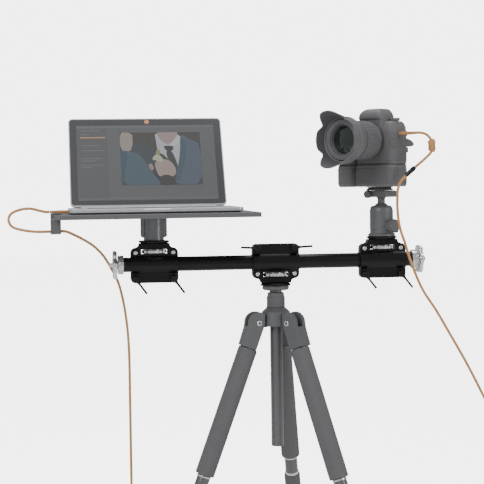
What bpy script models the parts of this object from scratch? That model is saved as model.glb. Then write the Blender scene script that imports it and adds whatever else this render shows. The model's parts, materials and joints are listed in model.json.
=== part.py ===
"""Stills camera rig: a tripod cross bar that carries a laptop tray at one end and a camera on a ball
head at the other, with the leads that join them.

Frame: X runs along the bar, -Y faces whoever stands in front of the laptop, +Z is up and z = 0 is the
floor. While it is built, x = y = 0 is the tripod's axis; the last step moves the rig so that its box
without the leads stands centred on the origin. Every length is in metres.
"""
import math

import bmesh
import bpy
import numpy as np
from mathutils import Matrix, Vector

# Clearances
GAP = 0.0003          # between pieces that touch
RUN = 0.0003          # radial clearance of a shaft in its hole

# Cross bar
BAR_RADIUS = 0.016
BAR_WALL = 0.0022
BAR_LEFT = -0.334     # the tube's ends, from the tripod's axis
BAR_RIGHT = 0.306
HUB_RADIUS = BAR_RADIUS + 0.0045
HUB_LENGTH = 0.0118
SPIGOT_LENGTH = 0.016
END_WHEEL_RADIUS = 0.033
END_WHEEL_THICK = 0.0105
STUD_RADIUS = 0.00475  # 3/8 inch thread
STUD_PROUD = 0.010
STUD_CHAMFER = 0.001

# Clamp brackets
LEFT_BRACKET_X = -0.267
RIGHT_BRACKET_X = 0.240
BRACKET_WIDTH = 0.103
FLANGE_HALF = 0.011
HOUSING_RADIUS = BAR_RADIUS + 0.006
SCREW_X = 0.041
SCREW_Z = BAR_RADIUS + 0.010
SCREW_HEAD_RADIUS = 0.0042
SCREW_HEAD_DEPTH = 0.0025
EAR_RADIUS = 0.0105
PIVOT_BOLT_RADIUS = 0.003
PIVOT_Z = -BAR_RADIUS - 0.0155
FLANGE_EDGE_Z = PIVOT_Z - 0.0085
CORNER_RADIUS = 0.008
WHEEL_Z = BAR_RADIUS + 0.012
WHEEL_RADIUS = 0.027
WHEEL_THICK = 0.0086
WHEEL_EDGE = 0.0012
WINDOW_HALF = WHEEL_RADIUS + 0.0015
WINDOW_CLEAR = 0.0007
PLATFORM_RADIUS = 0.0335
PLATFORM_THICK = 0.0057
PLATFORM_FACE = WHEEL_Z + 0.024     # from the bar's axis to the face of the platform
BRACKET_STUD_PROUD = 0.008
LEVER_REACH = 0.038
LEVER_LEAN = math.radians(13)
LEVER_BOSS_RADIUS = 0.008
LEVER_BOSS_HEIGHT = 0.0105
LEVER_ARM_RADIUS = 0.0026

# Laptop tray
TRAY_WIDTH = 0.432
TRAY_DEPTH = 0.318
TRAY_THICK = 0.010
TRAY_SHEET = 0.0025
TRAY_RIM = 0.003
TRAY_CORNER = 0.012
TRAY_TOP = PLATFORM_FACE + 0.061   # above the bar's axis
MOUNT_RADIUS = 0.0222
FIN_SPAN = 0.0573
FIN_THICK = 0.014
FIN_LIFT = 0.0065         # the fins end this far above the platform
FLANGE_WIDTH = 0.110
FLANGE_DEPTH = 0.080
FLANGE_THICK = 0.004

# Laptop
LAPTOP_WIDTH = 0.366
LAPTOP_DEPTH = 0.247
LAPTOP_THICK = 0.0105
LAPTOP_CORNER = 0.014
LID_WIDTH = LAPTOP_WIDTH - 0.012
LID_LENGTH = LAPTOP_DEPTH - 0.009
LID_THICK = 0.006
LID_LEAN = math.radians(28)
LID_AXIS_Y = LAPTOP_DEPTH / 2 - 0.010
LID_AXIS_DROP = 0.004     # the hinge's axis, below the deck
HINGE_RADIUS = 0.0045
HINGE_HALF = 0.152
PAD_WIDTH = 0.105
PAD_DEPTH = 0.072
PAD_Y = 0.0555 - LAPTOP_DEPTH / 2
PORT_HALF_WIDTH = 0.0048
PORT_HALF_HEIGHT = 0.0018

# Ball head, with heights above the bar's axis
BALL_Z = PLATFORM_FACE + 0.0556
BALL_RADIUS = 0.020
HEAD_RADIUS = BALL_RADIUS + 0.006
HEAD_BASE_RADIUS = HEAD_RADIUS + 0.004
HEAD_TOP = BALL_Z + 0.0122
STEM_RADIUS = 0.0085
CLAMP_LOW = BALL_Z + 0.0312
CLAMP_THICK = 0.0145
CLAMP_WIDTH = 0.060
CLAMP_DEPTH = 0.038
CLAMP_KNOB_X = -0.019
CLAMP_KNOB_Z = CLAMP_LOW + 0.0065
CLAMP_KNOB_RADIUS = 0.0084
CLAMP_PIN_RADIUS = 0.003
PLATE_WIDTH = 0.050
PLATE_THICK = 0.0078
PLATE_X = -0.004
LOCK_KNOB_RADIUS = 0.0145
LOCK_KNOB_AZIMUTH = math.radians(-58)
LOCK_KNOB_Z = PLATFORM_FACE + 0.024
LOCK_PIN_RADIUS = 0.004
KNOB_BOSS_RADIUS = 0.0125
KNOB_SEAT = HEAD_RADIUS + 0.003

# Camera, in its own frame: the lens looks along -Y and x = y = 0 is over the ball
CAMERA_YAW = math.radians(-51.9)
GRIP_HEIGHT = 0.0503
BODY_HEIGHT = 0.0930
PRISM_RISE = 0.0285
LENS_AXIS_Z = 0.1025      # above the foot of the battery grip
MOUNT_PLANE = 0.0367      # in front of the ball's axis
LENS_LENGTH = 0.098
LENS_RADIUS = 0.041
GLASS_DEPTH = 0.016       # from the lens's front edge down to the glass's seat
ZOOM_LOW = 0.0235         # the zoom ring's two edges, from the mount
ZOOM_HIGH = 0.0585
HOOD_RADIUS = LENS_RADIUS + 0.0095
HOOD_MOUTH = LENS_RADIUS + 0.021
HOOD_WALL = 0.0025
HOOD_LONG = 0.046
HOOD_SHORT = 0.020
HOOD_NOTCH = 0.011
CAMERA_SIDE = 0.062       # from the ball's axis to the side with the port
PORT_Y = -0.0085
PORT_Z = 0.1161           # above the foot of the battery grip
SHUTTER_PLACE = (-0.071, -0.046)
SHUTTER_RADIUS = 0.0055
DIAL_PLACE = (0.046, -0.006)
DIAL_RADIUS = 0.0105
DIAL_PIN_RADIUS = 0.002

# Tripod
SPLAY = math.radians(21)
LEG_AZIMUTHS = (71, 191, 311)
LEG_NAMES = ("rear", "left", "right")
COLUMN_RADIUS = 0.0138
COLUMN_WALL = 0.0023
COLUMN_LENGTH = 0.345
TOP_PLATE_RADIUS = 0.0295
TOP_PLATE_THICK = 0.0097
COLLAR_RADIUS = COLUMN_RADIUS + 0.0065
COLLAR_HIGH = -PLATFORM_FACE - 0.015
COLLAR_LOW = COLLAR_HIGH - 0.033
SHOULDER_RADIUS = COLUMN_RADIUS + 0.0172
SHOULDER_LOW = COLLAR_LOW - 0.041
PIVOT_RADIUS = SHOULDER_RADIUS + 0.014
PIVOT_DROP = 0.0326 - COLLAR_LOW    # from the bar's axis down to the leg pivots
PIN_RADIUS = 0.004
LUG_HALF = 0.008
LUG_RADIUS = 0.0105
CASTING_HALF = 0.018
CASTING_DROP = 0.058
INNER_RADIUS = 0.0113
TUBE_RADIUS = INNER_RADIUS + 0.0032
TUBE_END = 0.400
FOAM_RADIUS = TUBE_RADIUS + 0.0065
FOAM_END = 0.350
LOCK_LENGTH = 0.040
LOCK_RADIUS = TUBE_RADIUS + 0.004
FOOT_RADIUS = INNER_RADIUS + 0.0047
FOOT_CENTRE = 0.5424      # from the pivot to the foot's round end

# Leads
LEAD_RADIUS = 0.003
LEAD_POINTS = 76
BEND_SHARE = 0.03         # metres of lead that a radian of bend counts for, when points are shared out
LAPTOP_PORT_Y = -0.060
CLIP_Y = -0.100
CLIP_WIDTH = 0.022
CLIP_DEPTH = 0.020
CLIP_PROUD = 0.007        # beyond the tray's edge
CLIP_WALL = 0.0035
CLIP_HOLE_Z = TRAY_TOP - 0.0345     # above the bar's axis

# Heights above the floor, then above the bar's axis
PIVOT_HEIGHT = FOOT_CENTRE * math.cos(SPLAY) + FOOT_RADIUS
BAR_HEIGHT = PIVOT_HEIGHT + PIVOT_DROP
FLOOR_Z = LEAD_RADIUS + 2 * GAP
DECK = TRAY_TOP + GAP + LAPTOP_THICK
PORT_HEIGHT = TRAY_TOP + GAP + 0.0057
CAMERA_FOOT = CLAMP_LOW + CLAMP_THICK + PLATE_THICK + 2 * GAP


def clear_scene():
    for obj in list(bpy.data.objects):
        bpy.data.objects.remove(obj, do_unlink=True)


def finish(name, colour, roughness, metallic):
    """A Principled material with one colour."""
    material = bpy.data.materials.new(name)
    material.use_nodes = True
    shader = material.node_tree.nodes["Principled BSDF"]
    shader.inputs["Base Color"].default_value = (*colour, 1.0)
    shader.inputs["Roughness"].default_value = roughness
    shader.inputs["Metallic"].default_value = metallic
    return material


def frame_at(name, parent=None, place=(0, 0, 0), turn=(0, 0, 0)):
    """An empty that carries the pieces which move together."""
    empty = bpy.data.objects.new(name, None)
    bpy.context.collection.objects.link(empty)
    empty.parent = parent
    empty.location = place
    empty.rotation_euler = turn
    return empty


def piece(name, shape, material, parent, place=(0, 0, 0), turn=(0, 0, 0)):
    """A named object from a bmesh, placed under its empty."""
    bmesh.ops.remove_doubles(shape, verts=shape.verts, dist=1e-6)
    bmesh.ops.recalc_face_normals(shape, faces=shape.faces)
    mesh = bpy.data.meshes.new(name)
    shape.to_mesh(mesh)
    shape.free()
    mesh.shade_smooth()
    mesh.set_sharp_from_angle(angle=math.radians(32))
    mesh.materials.append(material)
    obj = bpy.data.objects.new(name, mesh)
    bpy.context.collection.objects.link(obj)
    obj.parent = parent
    obj.location = place
    obj.rotation_euler = turn
    return obj


def loft(rings, closed=False):
    """A skin over rings of points. The end rings are capped, or joined to each other when closed."""
    shape = bmesh.new()
    loops = [[shape.verts.new(point) for point in ring] for ring in rings]
    pairs = list(zip(loops, loops[1:]))
    if closed:
        pairs.append((loops[-1], loops[0]))
    else:
        shape.faces.new(loops[0])
        shape.faces.new(loops[-1])
    for one, other in pairs:
        for i in range(len(one)):
            j = (i + 1) % len(one)
            shape.faces.new((one[i], one[j], other[j], other[i]))
    bmesh.ops.recalc_face_normals(shape, faces=shape.faces)
    return shape


def ring(radius, z, sides):
    """Points on a circle about Z; the radius and the height may be functions of the angle."""
    points = []
    for i in range(sides):
        angle = 2 * math.pi * i / sides
        r = radius(angle) if callable(radius) else radius
        height = z(angle) if callable(z) else z
        points.append((r * math.cos(angle), r * math.sin(angle), height))
    return points


def turned(profile, sides=24, closed=False):
    """A solid turned about Z from (radius, z) points, or a ring when the profile is closed."""
    return loft([ring(radius, z, sides) for radius, z in profile], closed)


def slab(outline, low, high):
    """An (x, y) outline raised from z = low to z = high."""
    return loft([[(x, y, z) for x, y in outline] for z in (low, high)])


def box(low, high):
    (x0, y0, z0), (x1, y1, z1) = low, high
    return slab([(x0, y0), (x1, y0), (x1, y1), (x0, y1)], z0, z1)


def placed(shape, matrix):
    bmesh.ops.transform(shape, matrix=matrix, verts=shape.verts)
    return shape


def moved(shape, x=0.0, y=0.0, z=0.0):
    return placed(shape, Matrix.Translation((x, y, z)))


def pointing(shape, direction, start=(0, 0, 0)):
    """The shape with its Z axis turned to a direction, and its origin moved to start."""
    turn = Vector(direction).to_track_quat("Z", "Y").to_matrix().to_4x4()
    return placed(shape, Matrix.Translation(start) @ turn)


def upright(shape):
    """(x, y, z) becomes (x, z, y), for an outline drawn in the X-Z plane and raised along Y."""
    return placed(shape, Matrix(((1, 0, 0, 0), (0, 0, 1, 0), (0, 1, 0, 0), (0, 0, 0, 1))))


def mirrored(shape, x=1, y=1, z=1):
    placed(shape, Matrix.Diagonal((x, y, z, 1)))
    bmesh.ops.recalc_face_normals(shape, faces=shape.faces)
    return shape


def combine(base, tools, operation):
    """The base with each tool joined to it (UNION) or taken out of it (DIFFERENCE)."""
    for tool in tools:
        pair = []
        for label, shape in (("base", base), ("tool", tool)):
            bmesh.ops.recalc_face_normals(shape, faces=shape.faces)
            mesh = bpy.data.meshes.new(label)
            shape.to_mesh(mesh)
            shape.free()
            obj = bpy.data.objects.new(label, mesh)
            bpy.context.collection.objects.link(obj)
            pair.append(obj)
        cut = pair[0].modifiers.new("cut", "BOOLEAN")
        cut.object = pair[1]
        cut.operation = operation
        cut.solver = "EXACT"
        graph = bpy.context.evaluated_depsgraph_get()
        base = bmesh.new()
        base.from_mesh(pair[0].evaluated_get(graph).to_mesh())
        for obj in pair:
            bpy.data.objects.remove(obj, do_unlink=True)
        bmesh.ops.remove_doubles(base, verts=base.verts, dist=1e-6)
    return base


def joined(base, *tools):
    return combine(base, tools, "UNION")


def cut(base, *tools):
    return combine(base, tools, "DIFFERENCE")


def arc(x, y, radius, start, end, steps):
    """Points on an arc, with its angles in degrees."""
    angles = np.radians(np.linspace(start, end, steps + 1))
    return [(x + radius * math.cos(a), y + radius * math.sin(a)) for a in angles]


def rounded(width, depth, radius, steps=3, x=0.0, y=0.0):
    """A rectangle with round corners about (x, y)."""
    w, d = width / 2 - radius, depth / 2 - radius
    corners = ((w, d, 0), (-w, d, 90), (-w, -d, 180), (w, -d, 270))
    return [p for cx, cy, a in corners for p in arc(x + cx, y + cy, radius, a, a + 90, steps)]


def bored(shape, radius, low, high, sides=16, x=0.0, y=0.0):
    """The shape with a round hole along Z."""
    return cut(shape, moved(turned([(radius, low), (radius, high)], sides), x, y))


def scalloped(radius, depth, lobes):
    """A wheel's radius round its edge, with a number of finger lobes."""
    return lambda angle: radius - depth * (0.5 - 0.5 * math.cos(lobes * angle))


# Brackets ---------------------------------------------------------------------------------------

def bracket_outline(top):
    """A shell seen from the front, as (x, z), with the platform's side up."""
    side = SCREW_X + EAR_RADIUS
    neck = PLATFORM_RADIUS - 0.0005
    dip = SCREW_X - neck
    right = arc(side - CORNER_RADIUS, FLANGE_EDGE_Z + CORNER_RADIUS, CORNER_RADIUS, -90, 0, 2)
    right += arc(SCREW_X, SCREW_Z, EAR_RADIUS, 0, 90, 3)
    right += arc(SCREW_X, SCREW_Z + EAR_RADIUS + dip, dip, -90, -180, 2)[1:]
    right.append((neck, top))
    return right + [(-x, z) for x, z in reversed(right)]


def front_shell():
    """Half of the clamp: a flat flange, and a half round housing over the bar."""
    top = PLATFORM_FACE - PLATFORM_THICK - GAP
    half = BRACKET_WIDTH / 2
    shape = upright(slab(bracket_outline(top), -FLANGE_HALF, -GAP / 2))
    housing = turned([(HOUSING_RADIUS, -half), (HOUSING_RADIUS, half)], 24)
    shape = joined(shape, pointing(housing, (1, 0, 0)))
    bar_bore = BAR_RADIUS + RUN
    window = WHEEL_THICK / 2 + WINDOW_CLEAR
    tools = [box((-1, -GAP / 2, -1), (1, 1, 1)),
             pointing(turned([(bar_bore, -1), (bar_bore, 1)], 28), (1, 0, 0)),
             box((-WINDOW_HALF, -1, WHEEL_Z - window), (WINDOW_HALF, 1, WHEEL_Z + window)),
             turned([(STUD_RADIUS + RUN, HOUSING_RADIUS - 0.001), (STUD_RADIUS + RUN, 1)], 10)]
    for x in (-SCREW_X, SCREW_X):
        bolt = PIVOT_BOLT_RADIUS + RUN
        tools.append(pointing(turned([(bolt, -1), (bolt, 1)], 10), (0, -1, 0), (x, 0, PIVOT_Z)))
        head = turned([(SCREW_HEAD_RADIUS, FLANGE_HALF - SCREW_HEAD_DEPTH), (SCREW_HEAD_RADIUS, 1)], 10)
        tools.append(pointing(head, (0, -1, 0), (x, 0, SCREW_Z)))
    return cut(shape, *tools)


def platform():
    """The round mounting disc, with a bevelled underside and a hole for the stud."""
    low = PLATFORM_FACE - PLATFORM_THICK
    bore = STUD_RADIUS + RUN
    return turned([(bore, low), (PLATFORM_RADIUS - 0.0045, low), (PLATFORM_RADIUS, low + 0.0025),
                   (PLATFORM_RADIUS, PLATFORM_FACE), (bore, PLATFORM_FACE)], 32, closed=True)


def stud_wheel(stud_top):
    """The scalloped hand wheel in the window; with a stud, or with a hole where it is a nut."""
    low, high = WHEEL_Z - WHEEL_THICK / 2, WHEEL_Z + WHEEL_THICK / 2
    edge = scalloped(WHEEL_RADIUS, 0.0018, 10)
    inset = scalloped(WHEEL_RADIUS - WHEEL_EDGE, 0.0018, 10)
    sides = 10 * 4
    if stud_top is None:
        bore = STUD_RADIUS + RUN
        return turned([(bore, low), (inset, low), (edge, low + WHEEL_EDGE), (edge, high - WHEEL_EDGE),
                       (inset, high), (bore, high)], sides, closed=True)
    wheel = turned([(inset, low), (edge, low + WHEEL_EDGE), (edge, high - WHEEL_EDGE), (inset, high)], sides)
    stud = turned([(STUD_RADIUS, WHEEL_Z), (STUD_RADIUS, stud_top - STUD_CHAMFER),
                   (STUD_RADIUS - STUD_CHAMFER, stud_top)], 10)
    return joined(wheel, stud)


def lever(angle):
    """A clamping lever about its pivot: a boss, a bolt that runs through both shells, and an arm."""
    face = FLANGE_HALF + GAP
    nut = PIVOT_BOLT_RADIUS + 0.0025
    profile = [(nut, -face - 0.004), (nut, -face), (PIVOT_BOLT_RADIUS, -face),
               (PIVOT_BOLT_RADIUS, face), (LEVER_BOSS_RADIUS, face),
               (LEVER_BOSS_RADIUS, face + LEVER_BOSS_HEIGHT - 0.0015),
               (LEVER_BOSS_RADIUS - 0.0012, face + LEVER_BOSS_HEIGHT)]
    boss = pointing(turned(profile, 12), (0, -1, 0))
    lean = math.cos(LEVER_LEAN)
    direction = (math.cos(angle) * lean, -math.sin(LEVER_LEAN), math.sin(angle) * lean)
    arm = turned([(LEVER_ARM_RADIUS + 0.0022, 0.004), (LEVER_ARM_RADIUS, 0.014),
                  (LEVER_ARM_RADIUS, LEVER_REACH), (LEVER_ARM_RADIUS - 0.001, LEVER_REACH + 0.0014)], 8)
    return joined(boss, pointing(arm, direction, (0, -(face + LEVER_BOSS_HEIGHT / 2 + 0.00025), 0)))


def bracket(name, x, up, arm_angles, stud_top):
    """One clamp bracket on the bar; up is 1 with the platform on top and -1 with it below."""
    base = frame_at(name + "_bracket", rig, (x, 0, BAR_HEIGHT))
    piece(name + "_front_shell", mirrored(front_shell(), z=up), black_satin, base)
    piece(name + "_rear_shell", mirrored(front_shell(), y=-1, z=up), black_satin, base)
    piece(name + "_platform", mirrored(platform(), z=up), black_satin, base)
    piece(name + "_stud_wheel", mirrored(stud_wheel(stud_top), z=up), bright_steel, base)
    for side, label, angle in ((-1, "left", arm_angles[0]), (1, "right", arm_angles[1])):
        pivot = frame_at(f"{name}_{label}_pivot", base, (side * SCREW_X, 0, up * PIVOT_Z))
        piece(f"{name}_lever_{label}", lever(math.radians(angle)), black_gloss, pivot)


# Cross bar --------------------------------------------------------------------------------------

def cross_bar():
    inner = BAR_RADIUS - BAR_WALL
    tube = turned([(inner, BAR_LEFT), (BAR_RADIUS, BAR_LEFT), (BAR_RADIUS, BAR_RIGHT),
                   (inner, BAR_RIGHT)], 32, closed=True)
    piece("cross_bar", pointing(tube, (1, 0, 0)), black_satin, rig, (0, 0, BAR_HEIGHT))


def end_cap():
    """Silver hub with a spigot inside the bar; z = 0 is the bar's end face, and z points outwards."""
    bore = STUD_RADIUS + RUN
    spigot = BAR_RADIUS - BAR_WALL - RUN
    high = GAP + HUB_LENGTH
    return turned([(bore, -SPIGOT_LENGTH), (spigot, -SPIGOT_LENGTH), (spigot, GAP), (HUB_RADIUS, GAP),
                   (HUB_RADIUS, high), (bore, high)], 24, closed=True)


def end_wheel():
    """Lobed hand wheel, dished on its inner side, on a stud that runs into the end cap."""
    low = HUB_LENGTH + 2 * GAP
    web = low + 0.0050
    high = low + END_WHEEL_THICK
    edge = scalloped(END_WHEEL_RADIUS, 0.005, 6)
    inset = scalloped(END_WHEEL_RADIUS - 0.0018, 0.005, 6)
    rim = scalloped(END_WHEEL_RADIUS - 0.005, 0.004, 6)
    return turned([(STUD_RADIUS, -0.012), (STUD_RADIUS, low), (0.0085, low), (0.0095, web),
                   (rim, web), (inset, low + 0.002), (edge, low + 0.0045), (inset, high),
                   (STUD_RADIUS, high), (STUD_RADIUS, high + STUD_PROUD)], 36)


def bar_ends():
    for name, x, outwards in (("left", BAR_LEFT, -1), ("right", BAR_RIGHT, 1)):
        place = (x, 0, BAR_HEIGHT)
        piece(name + "_end_cap", pointing(end_cap(), (outwards, 0, 0)), silver, rig, place)
        piece(name + "_end_wheel", pointing(end_wheel(), (outwards, 0, 0)), bright_steel, rig, place)


# Laptop tray and laptop -------------------------------------------------------------------------

def tray():
    """A folded sheet tray, open below, with a plain rim."""
    low = TRAY_TOP - TRAY_THICK
    outline = rounded(TRAY_WIDTH, TRAY_DEPTH, TRAY_CORNER)
    shape = slab(outline, low, TRAY_TOP)
    inside = rounded(TRAY_WIDTH - 2 * TRAY_RIM, TRAY_DEPTH - 2 * TRAY_RIM, TRAY_CORNER - TRAY_RIM)
    shape = cut(shape, slab(inside, low - 0.01, TRAY_TOP - TRAY_SHEET))
    piece("tray", shape, grey_metal, laptop_side)


def tray_mount():
    """The post between the bracket's platform and the tray, with side fins and a top flange."""
    low = PLATFORM_FACE + GAP
    high = TRAY_TOP - TRAY_SHEET - GAP
    post = turned([(MOUNT_RADIUS, low), (MOUNT_RADIUS, high)], 28)
    half = FIN_SPAN / 2
    fins = [(-half, low + FIN_LIFT + 0.003), (0.003 - half, low + FIN_LIFT),
            (half - 0.003, low + FIN_LIFT), (half, low + FIN_LIFT + 0.003), (half, high), (-half, high)]
    shape = joined(post, upright(slab(fins, -FIN_THICK / 2, FIN_THICK / 2)),
                   slab(rounded(FLANGE_WIDTH, FLANGE_DEPTH, 0.006), high - FLANGE_THICK, high))
    shape = bored(shape, STUD_RADIUS + RUN, low - 0.01, low + 0.009)
    piece("tray_mount", shape, grey_metal, laptop_side)


def cable_clip():
    """A clip over the tray's left rim that holds the laptop's lead."""
    edge = LEFT_BRACKET_X - TRAY_WIDTH / 2
    inner = edge + CLIP_WIDTH - CLIP_PROUD
    outer = edge - CLIP_PROUD
    under = TRAY_TOP - TRAY_THICK - GAP
    bore = LEAD_RADIUS + 3 * RUN
    low = CLIP_HOLE_Z - bore - 0.0019
    outline = [(outer, low), (inner, low), (inner, under), (edge - GAP, under), (edge - GAP, TRAY_TOP + GAP),
               (inner, TRAY_TOP + GAP), (inner, TRAY_TOP + CLIP_WALL), (outer, TRAY_TOP + CLIP_WALL)]
    shape = upright(slab([(x - LEFT_BRACKET_X, z) for x, z in outline],
                         CLIP_Y - CLIP_DEPTH / 2, CLIP_Y + CLIP_DEPTH / 2))
    hole = pointing(turned([(bore, -0.5), (bore, 0.5)], 12), (1, 0, 0), (0, CLIP_Y, CLIP_HOLE_Z))
    piece("cable_clip", cut(shape, hole), grey_plastic, laptop_side)


def laptop():
    low = TRAY_TOP + GAP
    rings = [(0.010, low), (0.0, low + 0.0030), (0.0, DECK - 0.0008), (0.0008, DECK)]
    base = loft([[(x, y, z) for x, y in rounded(LAPTOP_WIDTH - 2 * inset, LAPTOP_DEPTH - 2 * inset,
                                                LAPTOP_CORNER - inset / 2)] for inset, z in rings])
    pad_low = DECK - 0.0016
    pad_cut = box((-PAD_WIDTH / 2 - GAP, PAD_Y - PAD_DEPTH / 2 - GAP, pad_low),
                  (PAD_WIDTH / 2 + GAP, PAD_Y + PAD_DEPTH / 2 + GAP, 1))
    notch_y = LID_AXIS_Y - HINGE_RADIUS - 0.0012
    notch = box((-HINGE_HALF - 0.0008, notch_y, 0), (HINGE_HALF + 0.0008, 1, 1))
    side = -LAPTOP_WIDTH / 2
    port = box((side - 0.01, LAPTOP_PORT_Y - PORT_HALF_WIDTH, PORT_HEIGHT - PORT_HALF_HEIGHT),
               (side + 0.01, LAPTOP_PORT_Y + PORT_HALF_WIDTH, PORT_HEIGHT + PORT_HALF_HEIGHT))
    piece("laptop_base", cut(base, pad_cut, notch, port), laptop_alloy, laptop_side)
    pad = slab(rounded(PAD_WIDTH, PAD_DEPTH, 0.003, 2, 0, PAD_Y), pad_low + 0.0006, DECK - 0.0001)
    piece("laptop_trackpad", pad, laptop_alloy, laptop_side)

    hinge = frame_at("lid_hinge", laptop_side, (0, LID_AXIS_Y, DECK - LID_AXIS_DROP), (-LID_LEAN, 0, 0))
    face = HINGE_RADIUS                # the screen's face lies this far behind the hinge's axis
    foot_z = HINGE_RADIUS + 0.005      # clear of the base's corners, however far the lid leans
    plate = rounded(LID_WIDTH, LID_LENGTH - foot_z, 0.010, 3, 0, (LID_LENGTH + foot_z) / 2)
    lid = upright(slab(plate, face, face + LID_THICK))
    foot = HINGE_HALF - 0.001
    barrel = turned([(HINGE_RADIUS, -foot), (HINGE_RADIUS, foot)], 16)
    lid = joined(lid, box((-foot, face + GAP, 0), (foot, face + LID_THICK - GAP, foot_z + 0.002)),
                 pointing(barrel, (1, 0, 0)), box((-foot, 0, -0.002), (foot, face + 0.0015, 0.004)))
    piece("laptop_lid", lid, laptop_alloy, hinge)


# Ball head --------------------------------------------------------------------------------------

def around(azimuth, radius, z):
    return (radius * math.cos(azimuth), radius * math.sin(azimuth), z)


def ball_housing():
    """The head's body: a bore for the stud below, and the ball's socket above."""
    low = PLATFORM_FACE + GAP
    bore = STUD_RADIUS + RUN
    facets = 7
    socket = (BALL_RADIUS + 2 * RUN) / math.cos(math.pi / facets / 3)
    rim = math.asin((HEAD_TOP - BALL_Z) / socket)
    angles = np.linspace(rim, -math.pi / 2 + 0.12, facets)
    profile = [(bore, low + 0.009), (bore, low), (HEAD_BASE_RADIUS, low), (HEAD_BASE_RADIUS, low + 0.004),
               (HEAD_RADIUS, low + 0.008), (HEAD_RADIUS, HEAD_TOP - 0.010),
               (BALL_RADIUS + 0.0015, HEAD_TOP - 0.001), (BALL_RADIUS + 0.0005, HEAD_TOP)]
    profile += [(socket * math.cos(a), BALL_Z + socket * math.sin(a)) for a in angles]
    outward = around(LOCK_KNOB_AZIMUTH, 1, 0)
    boss = turned([(KNOB_BOSS_RADIUS, HEAD_RADIUS - 0.004), (KNOB_BOSS_RADIUS, KNOB_SEAT)], 16)
    shape = joined(turned(profile, 24), pointing(boss, outward, (0, 0, LOCK_KNOB_Z)))
    shaft = turned([(LOCK_PIN_RADIUS + RUN, KNOB_SEAT - 0.012), (LOCK_PIN_RADIUS + RUN, 1)], 10)
    shape = cut(shape, pointing(shaft, outward, (0, 0, LOCK_KNOB_Z)))
    piece("ball_housing", shape, grey_metal, head_side)
    knob = turned([(LOCK_PIN_RADIUS, KNOB_SEAT - 0.011), (LOCK_PIN_RADIUS, KNOB_SEAT + GAP),
                   (KNOB_BOSS_RADIUS, KNOB_SEAT + GAP),
                   (LOCK_KNOB_RADIUS, KNOB_SEAT + 0.003), (LOCK_KNOB_RADIUS, KNOB_SEAT + 0.012),
                   (LOCK_KNOB_RADIUS - 0.002, KNOB_SEAT + 0.0145)], 20)
    piece("lock_knob", pointing(knob, outward), black_rubber, head_side, (0, 0, LOCK_KNOB_Z))


def ball_stem():
    """The ball, its stem and the clamp on top, as one machined and screwed unit."""
    angles = np.linspace(-math.pi / 2 + 0.15, math.acos(STEM_RADIUS / BALL_RADIUS), 7)
    profile = [(BALL_RADIUS * math.cos(a), BALL_Z + BALL_RADIUS * math.sin(a)) for a in angles]
    profile += [(STEM_RADIUS, CLAMP_LOW - 0.003), (0.0125, CLAMP_LOW + 0.001)]
    high = CLAMP_LOW + CLAMP_THICK
    clamp = loft([[(x, y, z) for x, y in rounded(CLAMP_WIDTH - 2 * i, CLAMP_DEPTH - 2 * i, 0.005, 2)]
                  for i, z in ((0.002, CLAMP_LOW), (0, CLAMP_LOW + 0.002), (0, high))])
    shape = joined(turned(profile, 20), clamp)
    front = -CLAMP_DEPTH / 2
    shaft = turned([(CLAMP_PIN_RADIUS + RUN, -0.012), (CLAMP_PIN_RADIUS + RUN, 1)], 8)
    shape = cut(shape, pointing(shaft, (0, -1, 0), (CLAMP_KNOB_X, front, CLAMP_KNOB_Z)))
    piece("ball_stem", shape, grey_metal, camera_side)
    knob = turned([(CLAMP_PIN_RADIUS, -0.011), (CLAMP_PIN_RADIUS, GAP), (CLAMP_KNOB_RADIUS, GAP),
                   (CLAMP_KNOB_RADIUS, 0.009), (CLAMP_KNOB_RADIUS - 0.001, 0.0105)], 16)
    piece("clamp_knob", pointing(knob, (0, -1, 0)), black_rubber, camera_side,
          (CLAMP_KNOB_X, front, CLAMP_KNOB_Z))
    low = high + GAP
    plate = loft([[(x, y, z) for x, y in rounded(PLATE_WIDTH - 2 * i, CLAMP_DEPTH - 2 * i, 0.004, 2, PLATE_X)]
                  for i, z in ((0, low), (0, low + 0.003), (0.003, low + 0.0055), (0, low + PLATE_THICK))])
    piece("camera_plate", plate, grey_metal, camera_side)


# Camera -----------------------------------------------------------------------------------------

def camera_outline(front, hand, inset=0.0):
    """Plan of the body: a rounded block whose hand grip comes forward on its left."""
    side = CAMERA_SIDE - 0.012
    points = arc(side, 0.008, 0.012 - inset, 0, 90, 3)
    points += arc(-0.075, 0.005, 0.015 - inset, 90, 180, 3)
    points += arc(-0.074, 0.016 - hand, 0.016 - inset, 180, 270, 4)
    points += arc(-0.066, 0.018 - hand, 0.018 - inset, 280, 345, 3)
    points += [(-0.042 - inset, inset - front)]
    points += arc(side, 0.012 - front, 0.012 - inset, 270, 360, 3)
    return points


def camera_block(front, hand, rings):
    return loft([[(x, y, z) for x, y in camera_outline(front, hand, inset)] for inset, z in rings])


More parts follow.
